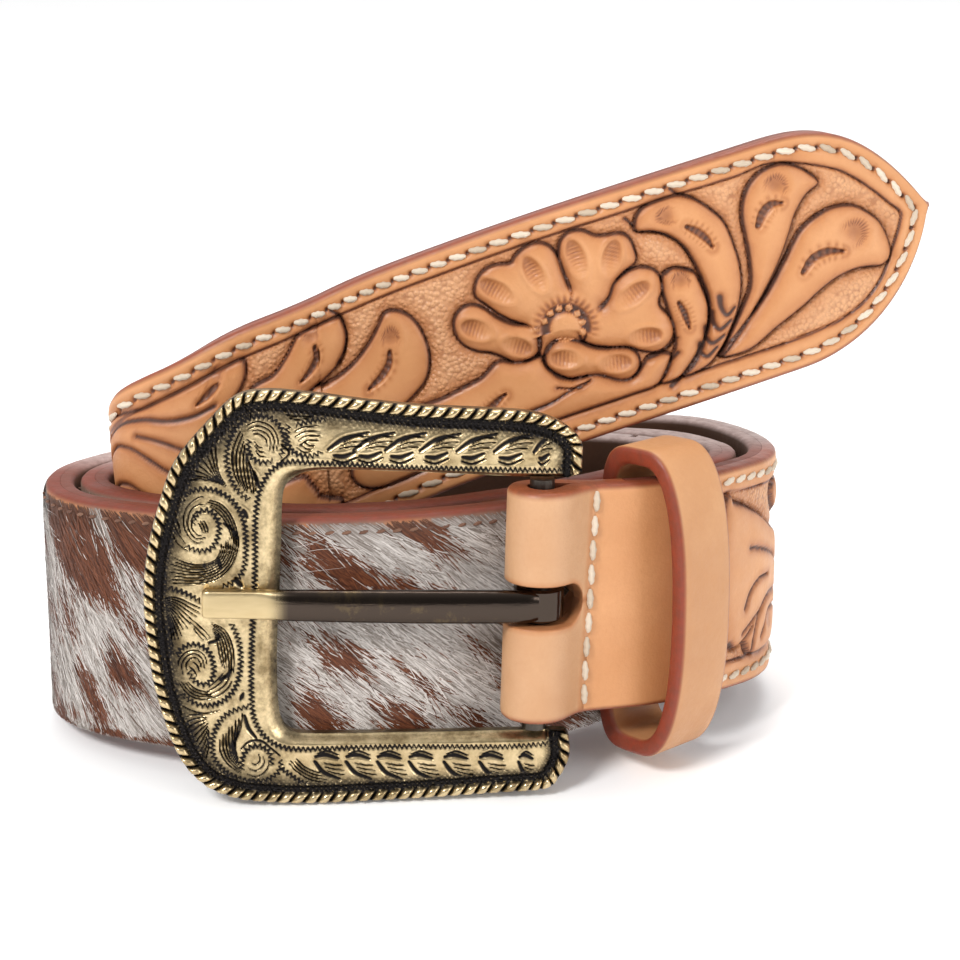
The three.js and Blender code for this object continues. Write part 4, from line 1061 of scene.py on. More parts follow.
# Long hairs that have come loose below the upper rim
stray = np.random.default_rng(8)
parts = []
for k in range(13):
    s0, v0 = stray.uniform(252, 268), stray.uniform(9, 17)
    heading = math.radians(stray.uniform(-80, 25))
    reach = stray.uniform(8, 17)
    t = np.linspace(0, 1, 9)
    turned = heading + stray.normal(0, 0.35) * t
    x = s0 + np.concatenate([[0], np.cumsum(np.cos(turned[1:]))]) * reach / 8
    y = v0 + np.concatenate([[0], np.cumsum(np.sin(turned[1:]))]) * reach / 8
    y = np.clip(y, -15, 18.4)
    n = HALF + 0.6 + stray.uniform(0.2, 1.1) * np.sin(math.pi * t * 0.9)
    half = 0.032 * (1 - 0.6 * t)
    rings = np.stack([on_strap(x - half * np.sin(turned) * a, y + half * np.cos(turned) * a,
                               n + 0.032 * b)
                      for a, b in ((-1, 0), (0, 1), (1, 0), (0, -1))], 1)
    verts, faces = tube(rings)
    flat = np.zeros(len(verts))
    parts.append((verts, faces, {"dark": flat, "tone": flat + 1, "reach": flat + 1}))
verts, faces, values = join(parts)
finish_piece(make_object("stray_hairs", verts, faces, values, sharp=0), HAIR, "strap")


# Stitches
def stitches(spots, width=1.05, high=0.44, shape=(10, 8)):
    """Thread stitches as ellipsoids. spots: start, end and normal of each in metres."""
    parts = []
    long_steps, round_steps = shape
    t = np.linspace(0, 1, long_steps)
    a = np.linspace(0, 2 * math.pi, round_steps, endpoint=False)
    for start, end, normal in spots:
        start, end, normal = map(np.asarray, (start, end, normal))
        along = end - start
        side = np.cross(normal, along)
        side /= np.linalg.norm(side)
        raised = (0.10 * np.sin(np.pi * t) - 0.12)[:, None] / 1000
        middle = start + along * t[:, None] + normal * raised
        thick = np.clip(np.sin(np.pi * (t * 0.94 + 0.03)), 0, 1) ** 0.4
        twist = 1 + 0.12 * np.sin(t[:, None] * 2 * math.pi * 2.5 + a[None])
        r = thick[:, None] * twist / 1000
        rings = (middle[:, None] + side * (np.cos(a) * width / 2)[None, :, None] * r[..., None]
                 + normal * (np.sin(a) * high)[None, :, None] * r[..., None])
        verts, faces = tube(rings)
        parts.append((verts, faces, {"tone": np.full(len(verts), rng.random())}))
    return join(parts)


def stitch_spots(line, pitch, share=0.8, slant=0.12, n=HALF,
                 to_s=lambda u: LENGTH - u, first=0.0):
    """Stitch ends along a 2-D line on the strap's face."""
    step = np.concatenate([[0], np.cumsum(np.linalg.norm(np.diff(line, axis=0), axis=1))])
    count = int((step[-1] - first) / pitch)
    spots = []
    for k in range(count):
        begin = first + k * pitch
        u0, v0 = (np.interp(begin, step, line[:, i]) for i in (0, 1))
        u1, v1 = (np.interp(begin + pitch * share, step, line[:, i]) for i in (0, 1))
        d = np.array([u1 - u0, v1 - v0])
        off = np.array([-d[1], d[0]]) * slant
        s = to_s(np.array([u0 - off[0], u1 + off[0]]))
        v = np.array([v0 - off[1], v1 + off[1]])
        p = on_strap(s, v, np.full(2, n))
        q = on_strap(s, v, np.full(2, n + 1.0))
        normal = (q[0] - p[0]) / np.linalg.norm(q[0] - p[0])
        spots.append((p[0], p[1], normal))
    return spots


def thread(name, light, deep):
    sh = Shader(name)
    sh.put("Base Color", sh.mix(sh.attribute("tone"), light, deep))
    fibre = sh.noise(2600, 2, 0.6, (1, 1, 0.4))
    sh.bump(fibre, 0.0001, 0.6)
    sh.put("Roughness", 0.75)
    return sh.mat


THREAD = thread("cream_thread", (0.68, 0.58, 0.46), (0.46, 0.36, 0.26))
BROWN_THREAD = thread("brown_thread", (0.20, 0.10, 0.06), (0.09, 0.035, 0.02))

spots = stitch_spots(SEAM, STITCH)
front_line = lambda v: np.array([(33.0, v), (118.0, v)])
for v in (16.5, -16.4):
    spots += stitch_spots(front_line(v), 3.55, to_s=lambda s: s)
verts, faces, values = stitches(spots)
finish_piece(make_object("stitches", verts, faces, values), THREAD, "strap")

seam = np.array([(7.9, 17.4), (7.7, 8), (7.8, -2), (7.6, -10), (7.9, -17.4)])
spots = stitch_spots(seam, 3.85, share=0.82, slant=0.03, n=HALF + 0.42, to_s=lambda s: s)
verts, faces, values = stitches(spots, width=1.15, high=0.5)
finish_piece(make_object("fold_stitches", verts, faces, values), THREAD, "strap")
spots = []
for v in (16.9, -16.9):
    spots += stitch_spots(np.array([(119.5, v), (480.0, v)]), 2.45, share=0.55, n=HALF + 0.3,
                          to_s=lambda s: s)
verts, faces, values = stitches(spots, width=0.6, high=0.34, shape=(6, 6))
finish_piece(make_object("hide_stitches", verts, faces, values), BROWN_THREAD, "strap")

# Punched holes: dark wells in both faces of the free end, painted shade standing in for the open
# holes
well_parts = []
for k in range(5):
    s = LENGTH - HOLE_FIRST - HOLE_PITCH * k
    for n, side in ((HALF + 0.03, 1), (-HALF - 0.03, -1)):
        ring = np.linspace(0, 2 * math.pi, 24, endpoint=False)
        rings = []
        for r, depth in ((2.15, 0.0), (1.95, 0.05), (1.8, 0.0), (1.7, -0.06), (0.6, -0.06)):
            rings.append(on_strap(s + r * np.cos(ring), r * np.sin(ring),
                                  np.full(24, n + side * depth)))
        well = np.stack(rings)
        faces = grid_faces(5, 24, wrap_cols=True)
        faces = np.vstack([faces, [[4 * 24 + j, 4 * 24 + j + 1, 4 * 24 + 22 - j, 4 * 24 + 23 - j]
                                   for j in range(11)]])
        if side < 0:
            faces = faces[:, ::-1]
        # painted shade: the well is darkest in the middle for the depth of the hole, lighter towards
        # its rim
        dark = np.repeat([0.5, 0.7, 1, 1, 1], 24)
        well_parts.append((well.reshape(-1, 3), faces,
                           {"stain_and_shade": dark, "ground": 0 * dark, "edge": 0 * dark}))
verts, faces, values = join(well_parts)
finish_piece(make_object("holes", verts, faces, values), TAN, "strap")

# Keeper loop
KEEPER = dict(x=23.4, y=-38.1, z=23.9, heading=45, width=11.5, wall=2.8, front=11.0, back=7.0,
              half=24.9, round=(2.4, 5.0))


def keeper():
    k = KEEPER
    turn = math.radians(k["heading"])
    along = np.array([math.cos(turn), math.sin(turn), 0])
    out = np.array([along[1], -along[0], 0])
    centre = np.array([k["x"], k["y"], k["z"]]) + out * (k["front"] - k["back"]) / 2
    deep = (k["front"] + k["back"]) / 2
    w, width, r = k["wall"], k["width"], 0.75
    face = np.linspace(r, width - r, 9)[1:-1]
    # profile round the strap of leather: inset from the outside, position across its width
    up = np.radians([0, 30, 60, 90])
    down = up[::-1]
    profile = [(w - r + r * math.sin(t), r - r * math.cos(t)) for t in down]
    profile += [(r - r * math.sin(t), r - r * math.cos(t)) for t in up]
    profile += [(0.0, x) for x in face]
    profile += [(r - r * math.sin(t), width - r + r * math.cos(t)) for t in down]
    profile += [(w - r + r * math.sin(t), width - r + r * math.cos(t)) for t in up]
    profile = np.array(profile)
    steps = 150
    rings = []
    for a in (np.arange(steps) + 0.5) * 2 * math.pi / steps:
        power = 2 / k["round"][0 if math.cos(a) > 0 else 1]
        x = math.copysign(abs(math.cos(a)) ** power, math.cos(a))
        z = math.copysign(abs(math.sin(a)) ** power, math.sin(a))
        ins, u = profile[:, :1], profile[:, 1:]
        rings.append(centre + out * (deep - ins) * x + along * u
                     + np.array([0, 0, 1]) * (k["half"] - ins) * z)
    rings = np.array(rings)
    rows, cols = rings.shape[:2]
    verts = world(rings.reshape(-1, 3))
    faces = turned_out(verts, grid_faces(rows, cols, wrap_cols=True, wrap_rows=True))
    rim = np.minimum(profile[:, 1], width - profile[:, 1])
    edge = np.tile(ease(1 - rim / 1.1), rows)
    return verts, faces, {"stain_and_shade": 0 * edge, "ground": 0 * edge, "edge": edge}


KEEPER_TAN = leather("keeper_tan", (0.566, 0.296, 0.138), (0.475, 0.222, 0.09),
                     (0.235, 0.036, 0.013), 0.4)
verts, faces, values = keeper()
finish_piece(make_object("keeper", verts, faces, values), KEEPER_TAN, "strap",
             ("keeper_loop",))

# Buckle engraving, in a and b
ZIGZAGS = [
    [(-3.8, 21), (10, 21.1), (20, 21.2), (28, 21.5), (35, 21.8), (38, 21.9), (40, 21.2),
     (41.5, 19.6), (42.6, 17), (43.1, 13), (43.1, 7), (43.2, 1), (43.5, -5), (43.6, -12),
     (43.4, -17), (42.5, -20), (41, -21.8), (39, -23), (36, -23.4), (30, -23.2), (20, -22.9),
     (10, -22.9), (3, -22.8), (-3.5, -22.2)],
    [(54.2, 15.2), (53.3, 16.8), (51.5, 17.5), (49.5, 17.5), (47.5, 16.6), (45.8, 14.9),
     (44.8, 12.5), (44.5, 9.5), (44.6, 6.5), (45.2, 4.4), (46.5, 3.1), (48.3, 2.4)],
    [(52.4, 12.2), (52, 13.5), (51, 14.3), (49.8, 14.2), (48.9, 13.2), (48.5, 11.8),
     (48.7, 10), (49.6, 8.5), (51, 8), (52.5, 8.3), (53.7, 9)],
    [(39.5, 22.6), (38.9, 24.5), (39.3, 26.8), (40.8, 28.4), (43, 28.7), (45.3, 27.7),
     (46.8, 25.5), (47.4, 23), (47.2, 20.5), (46.2, 18), (44.8, 16.5), (43.8, 15.9)],
    [(44.1, 25.2), (44.2, 23.3), (43.3, 22.1), (41.9, 21.7), (40.5, 22.1)],
    [(38.3, 27.5), (38.5, 25.2), (37.8, 23.6), (36.2, 22.8), (34.4, 22.9), (33.4, 23.6)],
    [(37.2, 27.5), (35, 28.1), (32.6, 28.5)],
    [(46.6, -3.3), (45.5, -6), (45.2, -9), (45.5, -12), (46.5, -14.3), (48.3, -15.9),
     (50.5, -16.4), (52.5, -15.8), (54.3, -14.2)],
    [(54.8, -8.5), (54, -7.2), (52.5, -6.6), (50.9, -7), (49.8, -8.2), (49.3, -10),
     (49.4, -11.8), (50.4, -13), (51.8, -12.7), (52.8, -11.6), (53.1, -10.6)],
    [(44, -16.5), (46.3, -17.2), (48, -18.4), (49, -20.2), (49.5, -22.3), (49.3, -24.5),
     (48.3, -26.3), (46.5, -27.7), (44, -28.6), (42, -28.6), (40, -27.8), (39, -26.2),
     (39.2, -24.8)],
    [(45, -26.7), (44.9, -25), (44.2, -23.5), (42.8, -22.8), (41.3, -23.3), (40.5, -24.6),
     (40.5, -26.2)],
    [(39, -26.4), (37.8, -27.4), (36.4, -28.4), (34.8, -29.1)],
    [(56, 2.2), (54, 1.6), (52, 0.6), (51, 0)],
]
# Rows of parallel cuts: first line, last line, how many, width
FANS = [
    ([(56.2, 3), (52.5, 2.9), (49, 3.6), (46.8, 5.6), (45.7, 8.5), (45.6, 11.5)],
     [(55.4, 7), (53, 6), (50.8, 5.9), (49.2, 6.5), (48.4, 7.7), (48.1, 9.2)], 7, 0.3),
    ([(50.3, 16), (48.3, 15.3), (46.8, 13.6), (45.9, 11.3), (45.7, 9.2)],
     [(49.9, 14.8), (48.7, 14), (47.6, 12.6), (46.9, 11), (46.5, 9.6)], 4, 0.3),
    ([(50.3, 9.7), (51.9, 9.3), (53.3, 10.6), (53.8, 12.5), (53.3, 14.7), (51.8, 16.1),
      (50, 16.6)],
     [(50.7, 10.6), (51.7, 10.5), (52.5, 11.4), (52.6, 12.6), (52.2, 13.7), (51.4, 14.1),
      (50.6, 14)], 3, 0.28),
    ([(51.6, 12.4), (51.2, 11.6), (50.9, 10.8)], [(50.9, 12.8), (50.4, 12), (50.2, 11)], 3, 0.32),
    ([(55.4, 10.4), (54.6, 9), (53, 7.9)], [(55.2, 14), (54.6, 12.2), (54.2, 10.6)], 3, 0.26),
    ([(54.4, 18.4), (52, 19), (50, 18.9), (48.4, 18.4)],
     [(49.2, 25.6), (49, 22.8), (48.6, 20.2), (47.4, 18)], 7, 0.3),
    ([(45.2, 26.9), (46.5, 23.5), (46.3, 20), (45, 17.4)],
     [(44.2, 22), (43.5, 20.4), (43, 18.6), (43.1, 17)], 6, 0.32),
    ([(44.8, 27.1), (43, 27.9), (41, 27.3), (39.9, 25.4), (40.2, 23)],
     [(43.4, 26.1), (42.5, 26), (41.6, 25.2), (41.4, 24)], 4, 0.28),
    ([(43.2, 23.6), (42.6, 22.8), (41.6, 22.6)], [(43.4, 25), (42.8, 24.2), (42.2, 24)], 3, 0.28),
    ([(48.4, 27.6), (46.4, 28.9), (44, 29.7), (41, 29.8)], [(47.8, 26.6), (46, 28.2), (44, 29.2),
                                                          (41.6, 29.3)], 2, 0.25),
    ([(39.6, 29.6), (37, 29.2), (34, 29)], [(38.6, 28.6), (37, 28.3), (35, 28.6)], 3, 0.25),
    ([(37.6, 26.4), (36, 27.2), (33.6, 27.4)], [(36.6, 24.4), (35.4, 25.2), (33.6, 25.2)], 4, 0.3),
    ([(37.2, 24.2), (36, 23.4), (34.6, 23.6)], [(36, 25), (35.2, 24.4), (34.4, 24.4)], 3, 0.28),
    ([(49.7, -3.2), (47.6, -4.4), (46.5, -6.8), (46.2, -9.5), (46.4, -11.8)],
     [(49.2, -4.7), (48.7, -6.5), (48.4, -8.3), (48, -10)], 5, 0.3),
    ([(46.4, -12.2), (47.3, -13.8), (48.8, -14.9), (50.6, -15.3)],
     [(47.9, -11.2), (48.5, -12), (49.4, -12.9), (50.2, -13.6)], 4, 0.32),
    ([(56.9, 0.9), (54.6, 0.6), (52.8, -0.2), (51, -1)],
     [(56.9, -1.2), (56.1, -3), (55.7, -5), (55.5, -7)], 10, 0.3),
    ([(53.2, -2.2), (51.8, -3.4), (50.6, -4.6), (49.6, -5.8)],
     [(52.4, -4), (51.9, -4.8), (51.3, -5.5), (50.8, -6)], 3, 0.28),
    ([(54.7, -11.8), (54.6, -9.4), (53.4, -7.9), (51.8, -7.6), (50.6, -8.6), (50.3, -10.4)],
     [(53.3, -10.9), (53.4, -9.7), (52.7, -8.9), (51.9, -8.8), (51.3, -9.6), (51.2, -10.2)], 3,
     0.28),
    ([(52.4, -9.4), (51.8, -10), (51.4, -11)], [(52.9, -10.2), (52.3, -10.8), (51.9, -11.6)], 2,
     0.35),
    ([(54.6, -12.6), (53.4, -14.4), (51.6, -15.3), (49.4, -15.3)],
     [(53.2, -12.6), (52.2, -13.6), (51, -14.1), (49.8, -14.2)], 4, 0.3),
    ([(54.2, -16.4), (52.4, -17.3), (50.4, -17.6), (47.8, -17)],
     [(54.2, -16.2), (52.6, -17), (50.4, -17.2), (48, -16.6)], 1, 0.3),
    ([(54, -18.4), (52.4, -17.9), (50.4, -17.9)], [(50.8, -26), (50.1, -23.5), (49.9, -21)], 9,
     0.3),
    ([(48.4, -21.5), (48.2, -24), (47, -26), (45, -27.5)],
     [(44.9, -17.6), (45.2, -20), (46, -22.5), (45.6, -25)], 7, 0.32),
    ([(44.4, -27.4), (42.6, -27.9), (41.1, -26.6), (40.9, -25)],
     [(43.6, -25.6), (42.8, -25.9), (42.2, -25.2), (42.4, -24.2)], 3, 0.28),
    ([(38, -25.4), (36.6, -27), (34.4, -28.4), (31.6, -28.9)],
     [(36.6, -25), (35.4, -26.2), (33.8, -27), (32.6, -27.2)], 4, 0.3),
]
# Single heavy cuts: line and width
STROKES = [
    ([(44.6, -18), (44, -20), (42.8, -21.6)], 0.6),
    ([(45.1, -23.4), (43.8, -22.2), (42, -22.1), (40.5, -23.3), (39.2, -24.4)], 0.4),
    ([(44.9, 14.4), (44.3, 13.2)], 0.6), ([(47.8, 12.3), (46.6, 11.4), (45.8, 10.2)], 0.5),
    ([(48.6, 6.8), (48.3, 5.4)], 0.6), ([(46, 3.6), (45.2, 2.6)], 0.8),
    ([(48.3, -12.2), (47.2, -11.6), (46.6, -10.6)], 0.6), ([(45.2, -15.4), (44.8, -14.4)], 0.6),
    ([(50, -6.4), (48.8, -6), (48.6, -5)], 0.6), ([(43.4, 20.3), (42.6, 18)], 0.6),
    ([(39.4, 24.6), (38.2, 23.2), (39.6, 21.6)], 0.3),
]
UPPER_LEAVES = [32.4, 28.6, 23.9, 18.7, 13.2, 7.6, 1.6]
LOWER_LEAVES = [33.8, 29.0, 24.2, 19.3, 13.9, 8.4, 2.3]
for x in UPPER_LEAVES:
    k = 1.0 if x > 5 else 0.55
    STROKES.append(([(x, 23.8), (x - 2.4 * k, 25.5), (x - 6 * k, 26.5)], 0.62))
    FANS.append(([(x - 2.2 * k, 24.9), (x - 4 * k, 25.8), (x - 6.6 * k, 26)],
                 [(x - 1.6 * k, 24), (x - 3.2 * k, 24.3), (x - 5 * k, 24.4)], 3, 0.26))
    STROKES.append(([(x - 0.9, 22.9), (x - 2.4 * k, 22.8), (x - 4.1 * k, 23.5)], 0.62))
    STROKES.append(([(x - 0.7, 22.3), (x - 2.4 * k, 21.9), (x - 4.4 * k, 22.7)], 0.36))
for x in LOWER_LEAVES:
    k = 1.0 if x > 5 else 0.6
    STROKES.append(([(x, -25.4), (x - 1.4 * k, -27.2), (x - 3.9 * k, -28.3)], 0.66))
    FANS.append(([(x - 1.2 * k, -25.6), (x - 2.8 * k, -25.9), (x - 4.4 * k, -26)],
                 [(x - 1.8 * k, -26.8), (x - 3.2 * k, -27.3), (x - 4.6 * k, -27.5)], 3, 0.26))
    STROKES.append(([(x - 0.1, -24.6), (x - 1.7 * k, -24.3), (x - 3.6 * k, -24.9)], 0.62))
    STROKES.append(([(x - 0.4, -24.1), (x - 1.9 * k, -23.7), (x - 3.6 * k, -24.3)], 0.34))


def zigzag(line, pitch=0.74, swing=0.36):
    step = np.concatenate([[0], np.cumsum(np.linalg.norm(np.diff(line, axis=0), axis=1))])
    at = np.arange(0, step[-1], pitch / 2)
    p = np.stack([np.interp(at, step, line[:, i]) for i in (0, 1)], 1)
    d = np.gradient(p, axis=0)
    side = np.stack([-d[:, 1], d[:, 0]], 1) / np.linalg.norm(d, axis=1)[:, None]
    return p + side * (swing * (-1) ** np.arange(len(p)))[:, None]


def buckle_plate(cell=0.17):
    """Front of the frame as a fine height field with its walls."""
    rows = np.array(OUTLINE) * np.array([FRAME_REACH, FRAME_HALF] * 2)
    outer = smooth_curve(rows[:, :2], 0.25)
    inner = smooth_curve(rows[:, 2:], 0.25)
    ring = np.vstack([outer, inner[::-1]])
    lo, hi = ring.min(0) - cell, ring.max(0) + cell
    ga, gb = np.arange(lo[0], hi[0], cell), np.arange(lo[1], hi[1], cell)
    a, b = np.meshgrid(ga, gb, indexing="ij")
    points = np.stack([a.ravel(), b.ravel()], 1)
    within = inside(points, ring)
    shape = a.shape
    w = within.reshape(shape)
    quad = w[:-1, :-1].astype(int) + w[1:, :-1] + w[1:, 1:] + w[:-1, 1:]
    keep = quad >= 2
    corners = grid_faces(*shape).reshape(shape[0] - 1, shape[1] - 1, 4)
    faces = corners[keep]
    used = np.unique(faces)
    # corners that stick out are drawn in to the outline
    closed = np.vstack([ring, ring[0]])
    for i in used[~within[used]]:
        k = ((closed - points[i]) ** 2).sum(1).argmin()
        points[i] = closed[k]
    renumber = np.full(len(points), -1)
    renumber[used] = np.arange(len(used))
    faces = renumber[faces]
    p = points[used]
    d_out, along = distance(p, outer, 40)
    d_in, _ = distance(p, inner, 40)
    # bevelled inner border: narrow on the arms, wide at the far side
    bevel_wide = np.where(p[:, 1] > 0, 1.0, 1.75)
    bevel_wide = bevel_wide + (3.0 - bevel_wide) * ease((p[:, 0] - 36) / 4)
    n = FACE_N + 0.12 * ease((d_out - 3.2) / 3)
    bevel = ease(1 - d_in / bevel_wide)
    n = n - 1.35 * bevel ** 1.6
    # channel beside the rope
    channel = ease((3.2 - d_out) / 0.6)
    n = n * (1 - channel) + 1.0 * channel
    # rope edge: slanting round ridges
    length = np.linalg.norm(np.diff(outer, axis=0), axis=1).sum()
    x = np.clip(d_out / ROPE, 0, 1)
    phase = along * length / 2.02 - 0.62 * x
    lay = np.abs(np.sin(np.pi * phase))
    dome = np.sqrt(np.clip(1 - abs(2 * x - 1) ** 3, 0, 1))
    rope = 0.75 + dome * (0.25 + 0.95 * np.clip(lay * 1.35 - 0.15, 0, 1) ** 0.6)
    on_rope = d_out < ROPE
    n = np.where(on_rope, rope, n)
    dark = np.where(on_rope, np.clip(1.3 - 2.1 * lay, 0, 1) * 0.97 + 0.35 * (1 - dome), 0.0)
    in_channel = (d_out >= ROPE) & (d_out < CHANNEL)
    dark = np.where(in_channel, 0.97, dark)
    spread = np.interp(p[:, 0], [20, 45], [1.0, 2.3])
    soft = np.exp(-np.clip((d_out - CHANNEL) / spread, 0, 9) ** 1.4) * (d_out >= CHANNEL)
    dark = np.maximum(dark, 0.82 * soft)
    # field darker towards the far side, and painted shade at the foot of the bevel
    dark = np.maximum(dark, (d_out >= CHANNEL) * 0.17 * ease((p[:, 0] - 34) / 8))
    foot = ease((2.0 - d_in) / 1.8) * (0.35 + 0.65 * ease((p[:, 0] - 34) / 4))
    dark = np.maximum(dark, 0.62 * foot)
    # small tool marks in the channel and beside it
    walk = along * length
    beads = (np.sin(walk * 2 * np.pi / 0.92 + 2.2 * np.sin(walk * 1.3))
             * np.sin(d_out * 2 * np.pi / 0.86))
    tooled = ease((4.6 - d_out) / 1.6) * (d_out >= ROPE)
    n = n + 0.2 * beads * tooled
    dark = dark - 0.9 * tooled * np.clip(beads - 0.5, 0, 1)
    free = ease((d_out - 3.0) / 0.5)

    def groove(line, width, depth=0.26):
        nonlocal n, dark
        d, t = distance(p, line, 1.2)
        taper = 0.55 + 0.45 * np.sin(np.pi * np.clip(t * 0.9 + 0.08, 0, 1))
        w = width * taper * 0.6
        cut = np.exp(-(d / w) ** 2) - 0.3 * np.exp(-((d - 1.7 * w) / (0.6 * w)) ** 2)
        n = n - depth * cut * free
        dark = np.maximum(dark, np.exp(-(d / (w * 1.02)) ** 4) * 0.97 * (0.3 + 0.7 * free))

    for line in ZIGZAGS:
        groove(zigzag(smooth_curve(line, 0.15)), 0.3, 0.16)
    for first, last, count, width in FANS:
        a_line, b_line = (smooth_curve(x, 0.2) for x in (first, last))
        t = np.linspace(0, 1, 40)
        a_line, b_line = (np.stack([np.interp(t, np.linspace(0, 1, len(x)), x[:, i])
                                    for i in (0, 1)], 1) for x in (a_line, b_line))
        count = round(count * 1.1)
        for k in range(count):
            share = k / max(count - 1, 1)
            trim = slice(0 if k % 2 else 2, 40 if k % 3 else 37)
            groove((a_line * (1 - share) + b_line * share)[trim], width * 0.74)
    for line, width in STROKES:
        groove(smooth_curve(line, 0.2), width, 0.3)
    # thin walls of the plate, down to its back
    wall_n = np.array([0.6, 0.25, -0.3, -0.9, -1.5, BACK_N])
    wall_in = np.array([0.0, 0.02, 0.05, 0.1, 0.16, 0.3])
    parts = [(on_buckle(p[:, 0], p[:, 1], n), faces, {"dark": dark})]
    for line, first_n, sign in ((outer, 0.78, 1), (inner, 0.28, -1)):
        d = np.gradient(line, axis=0)
        side = np.stack([d[:, 1], -d[:, 0]], 1) / np.linalg.norm(d, axis=1)[:, None]
        side *= sign
        levels = np.concatenate([[first_n], wall_n[wall_n < first_n]])
        draw = np.concatenate([[0], wall_in[wall_n < first_n]])
        verts = np.vstack([on_buckle(line[:, 0] + side[:, 0] * q, line[:, 1] + side[:, 1] * q, h)
                           for h, q in zip(levels, draw)])
        parts.append((verts, grid_faces(len(levels), len(line)),
                      {"dark": np.full(len(verts), 0.42)}))
    for i, j in ((0, 0), (-1, -1)):
        q = np.array([outer[i], inner[j]])
        t = np.linspace(0, 1, 12)
        line = q[0] + (q[1] - q[0]) * t[:, None]
        verts = np.vstack([on_buckle(line[:, 0], line[:, 1], np.full(12, h))
                           for h in (1.5, 0.8, 0, BACK_N)])
        parts.append((verts, grid_faces(4, 12), {"dark": np.full(48, 0.6)}))
    # back
    back = np.stack([np.vstack([on_buckle(x[:, 0], x[:, 1], BACK_N) for x in [
        outer[np.linspace(0, len(outer) - 1, 200).astype(int)] * (1 - t)
        + inner[np.linspace(0, len(inner) - 1, 200).astype(int)] * t]])
        for t in np.linspace(0.03, 0.97, 4)])
    parts.append((back.reshape(-1, 3), grid_faces(4, 200), {"dark": np.full(800, 0.5)}))
    return join(parts)


def brass(name, bright, deep, black, rough):
    sh = Shader(name)
    dark = sh.attribute("dark")
    patina = sh.noise(210, 6, 0.68)
    speck = sh.noise(1900, 2)
    metal = sh.mix(sh.ramp(patina, 0.36, 0.66), bright, deep)
    amount = sh.math("ADD", dark, sh.ramp(speck, 0.3, 0.7, -0.07, 0.09))
    amount = sh.math("ADD", amount, sh.ramp(patina, 0.45, 0.7, 0.0, 0.22))
    colour = sh.mix(sh.ramp(amount, 0.12, 0.5, 0.0, 0.72), metal, (0.085, 0.062, 0.034))
    colour = sh.mix(sh.ramp(amount, 0.45, 0.85), colour, black)
    sh.put("Base Color", colour)
    sh.put("Metallic", sh.ramp(amount, 0.4, 0.9, 1.0, 0.85))
    sh.put("Roughness", sh.ramp(amount, 0.1, 0.9, rough, 0.5))
    sh.bump(speck, 0.00005, 0.7)
    sh.bump(sh.noise(900, 4, 0.7, (0.25, 1, 1)), 0.00004, 0.6)
    return sh.mat


BRASS = brass("antique_brass", (0.74, 0.585, 0.345), (0.40, 0.29, 0.145),
              (0.012, 0.010, 0.010), 0.29)
verts, faces, values = buckle_plate()
finish_piece(make_object("buckle_plate", verts, faces, values, sharp=60), BRASS, "buckle",
             ("buckle_frame",))

# The heel bar keeps its solid, in this steel
STEEL = plain("dark_steel", (0.10, 0.085, 0.07), (0.05, 0.042, 0.036), 0.32, 0.9, 300)


# Prong: rounded bar with a flat squared tip and a loop round the heel bar
def prong():
    # distance from the bar, middle of the thickness, half thickness, half width, squareness
    body = np.array([
        (0.3, 3.3, 0.9, 2.2, 2.4), (1.6, 3.25, 1.25, 2.5, 2.6), (4, 3.3, 1.4, 2.55, 2.6),
        (9, 3.4, 1.5, 2.6, 2.6), (18, 3.6, 1.55, 2.6, 2.6), (30, 3.55, 1.5, 2.5, 2.6),
        (37, 3.35, 1.4, 2.4, 2.8), (40, 3.15, 1.25, 2.3, 3.2), (41.5, 3.0, 1.1, 2.2, 5),
        (43, 2.95, 1.02, 2.15, 7), (50.3, 2.88, 0.95, 2.12, 7), (50.9, 2.85, 0.8, 2.0, 6),
        (51, 2.85, 0.5, 1.8, 5)])
    rows = np.concatenate([np.linspace(0.3, 40, 60), np.linspace(40.4, 50.3, 24),
                           [50.7, 50.95, 51]])
    q = np.stack([np.interp(rows, body[:, 0], body[:, i]) for i in range(5)], 1)
    a = np.linspace(0, 2 * math.pi, 28, endpoint=False) + 0.01
    rings = []
    for x, mid, thick, wide, square in q:
        c, k = np.cos(a), np.sin(a)
        b = np.sign(c) * abs(c) ** (2 / square) * wide
        n = np.sign(k) * abs(k) ** (2 / square) * thick
        rings.append(on_buckle(np.full(28, x), PRONG_RISE + b, mid + n))
    verts, faces = tube(np.array(rings))
    tip = ease((np.repeat(rows, 28) - 38) / 3.5)
    parts = [(verts, faces, {"bright": tip})]
    turn = np.linspace(0, 2 * math.pi, 48, endpoint=False)
    profile = [(2.2, -2.55), (3.4, -2.6), (3.85, -2.2), (3.9, 0), (3.85, 2.2), (3.4, 2.6),
               (2.2, 2.55)]
    eye = np.stack([np.stack([on_buckle(r * math.cos(t), PRONG_RISE + b, r * math.sin(t))[0]
                              for r, b in profile]) for t in turn])
    verts = eye.reshape(-1, 3)
    faces = turned_out(verts, grid_faces(48, 7, wrap_cols=True, wrap_rows=True))
    parts.append((verts, faces, {"bright": np.zeros(len(verts))}))
    return join(parts)


def prong_material():
    sh = Shader("prong_bronze")
    bright = sh.attribute("bright")
    wear = sh.noise(120, 6, 0.75)
    dark = sh.mix(sh.ramp(wear, 0.58, 0.9), (0.060, 0.045, 0.036), (0.24, 0.17, 0.075))
    light = sh.mix(sh.noise(900, 2, 0.5, (0.2, 1, 1)), (0.66, 0.52, 0.30), (0.50, 0.38, 0.20))
    sh.put("Base Color", sh.mix(bright, dark, light))
    sh.put("Metallic", 1.0)
    sh.put("Roughness", sh.ramp(bright, 0, 1, 0.16, 0.36))
    sh.bump(sh.noise(1500, 3, 0.6, (0.08, 1, 1)), 0.00003, 0.7)
    return sh.mat


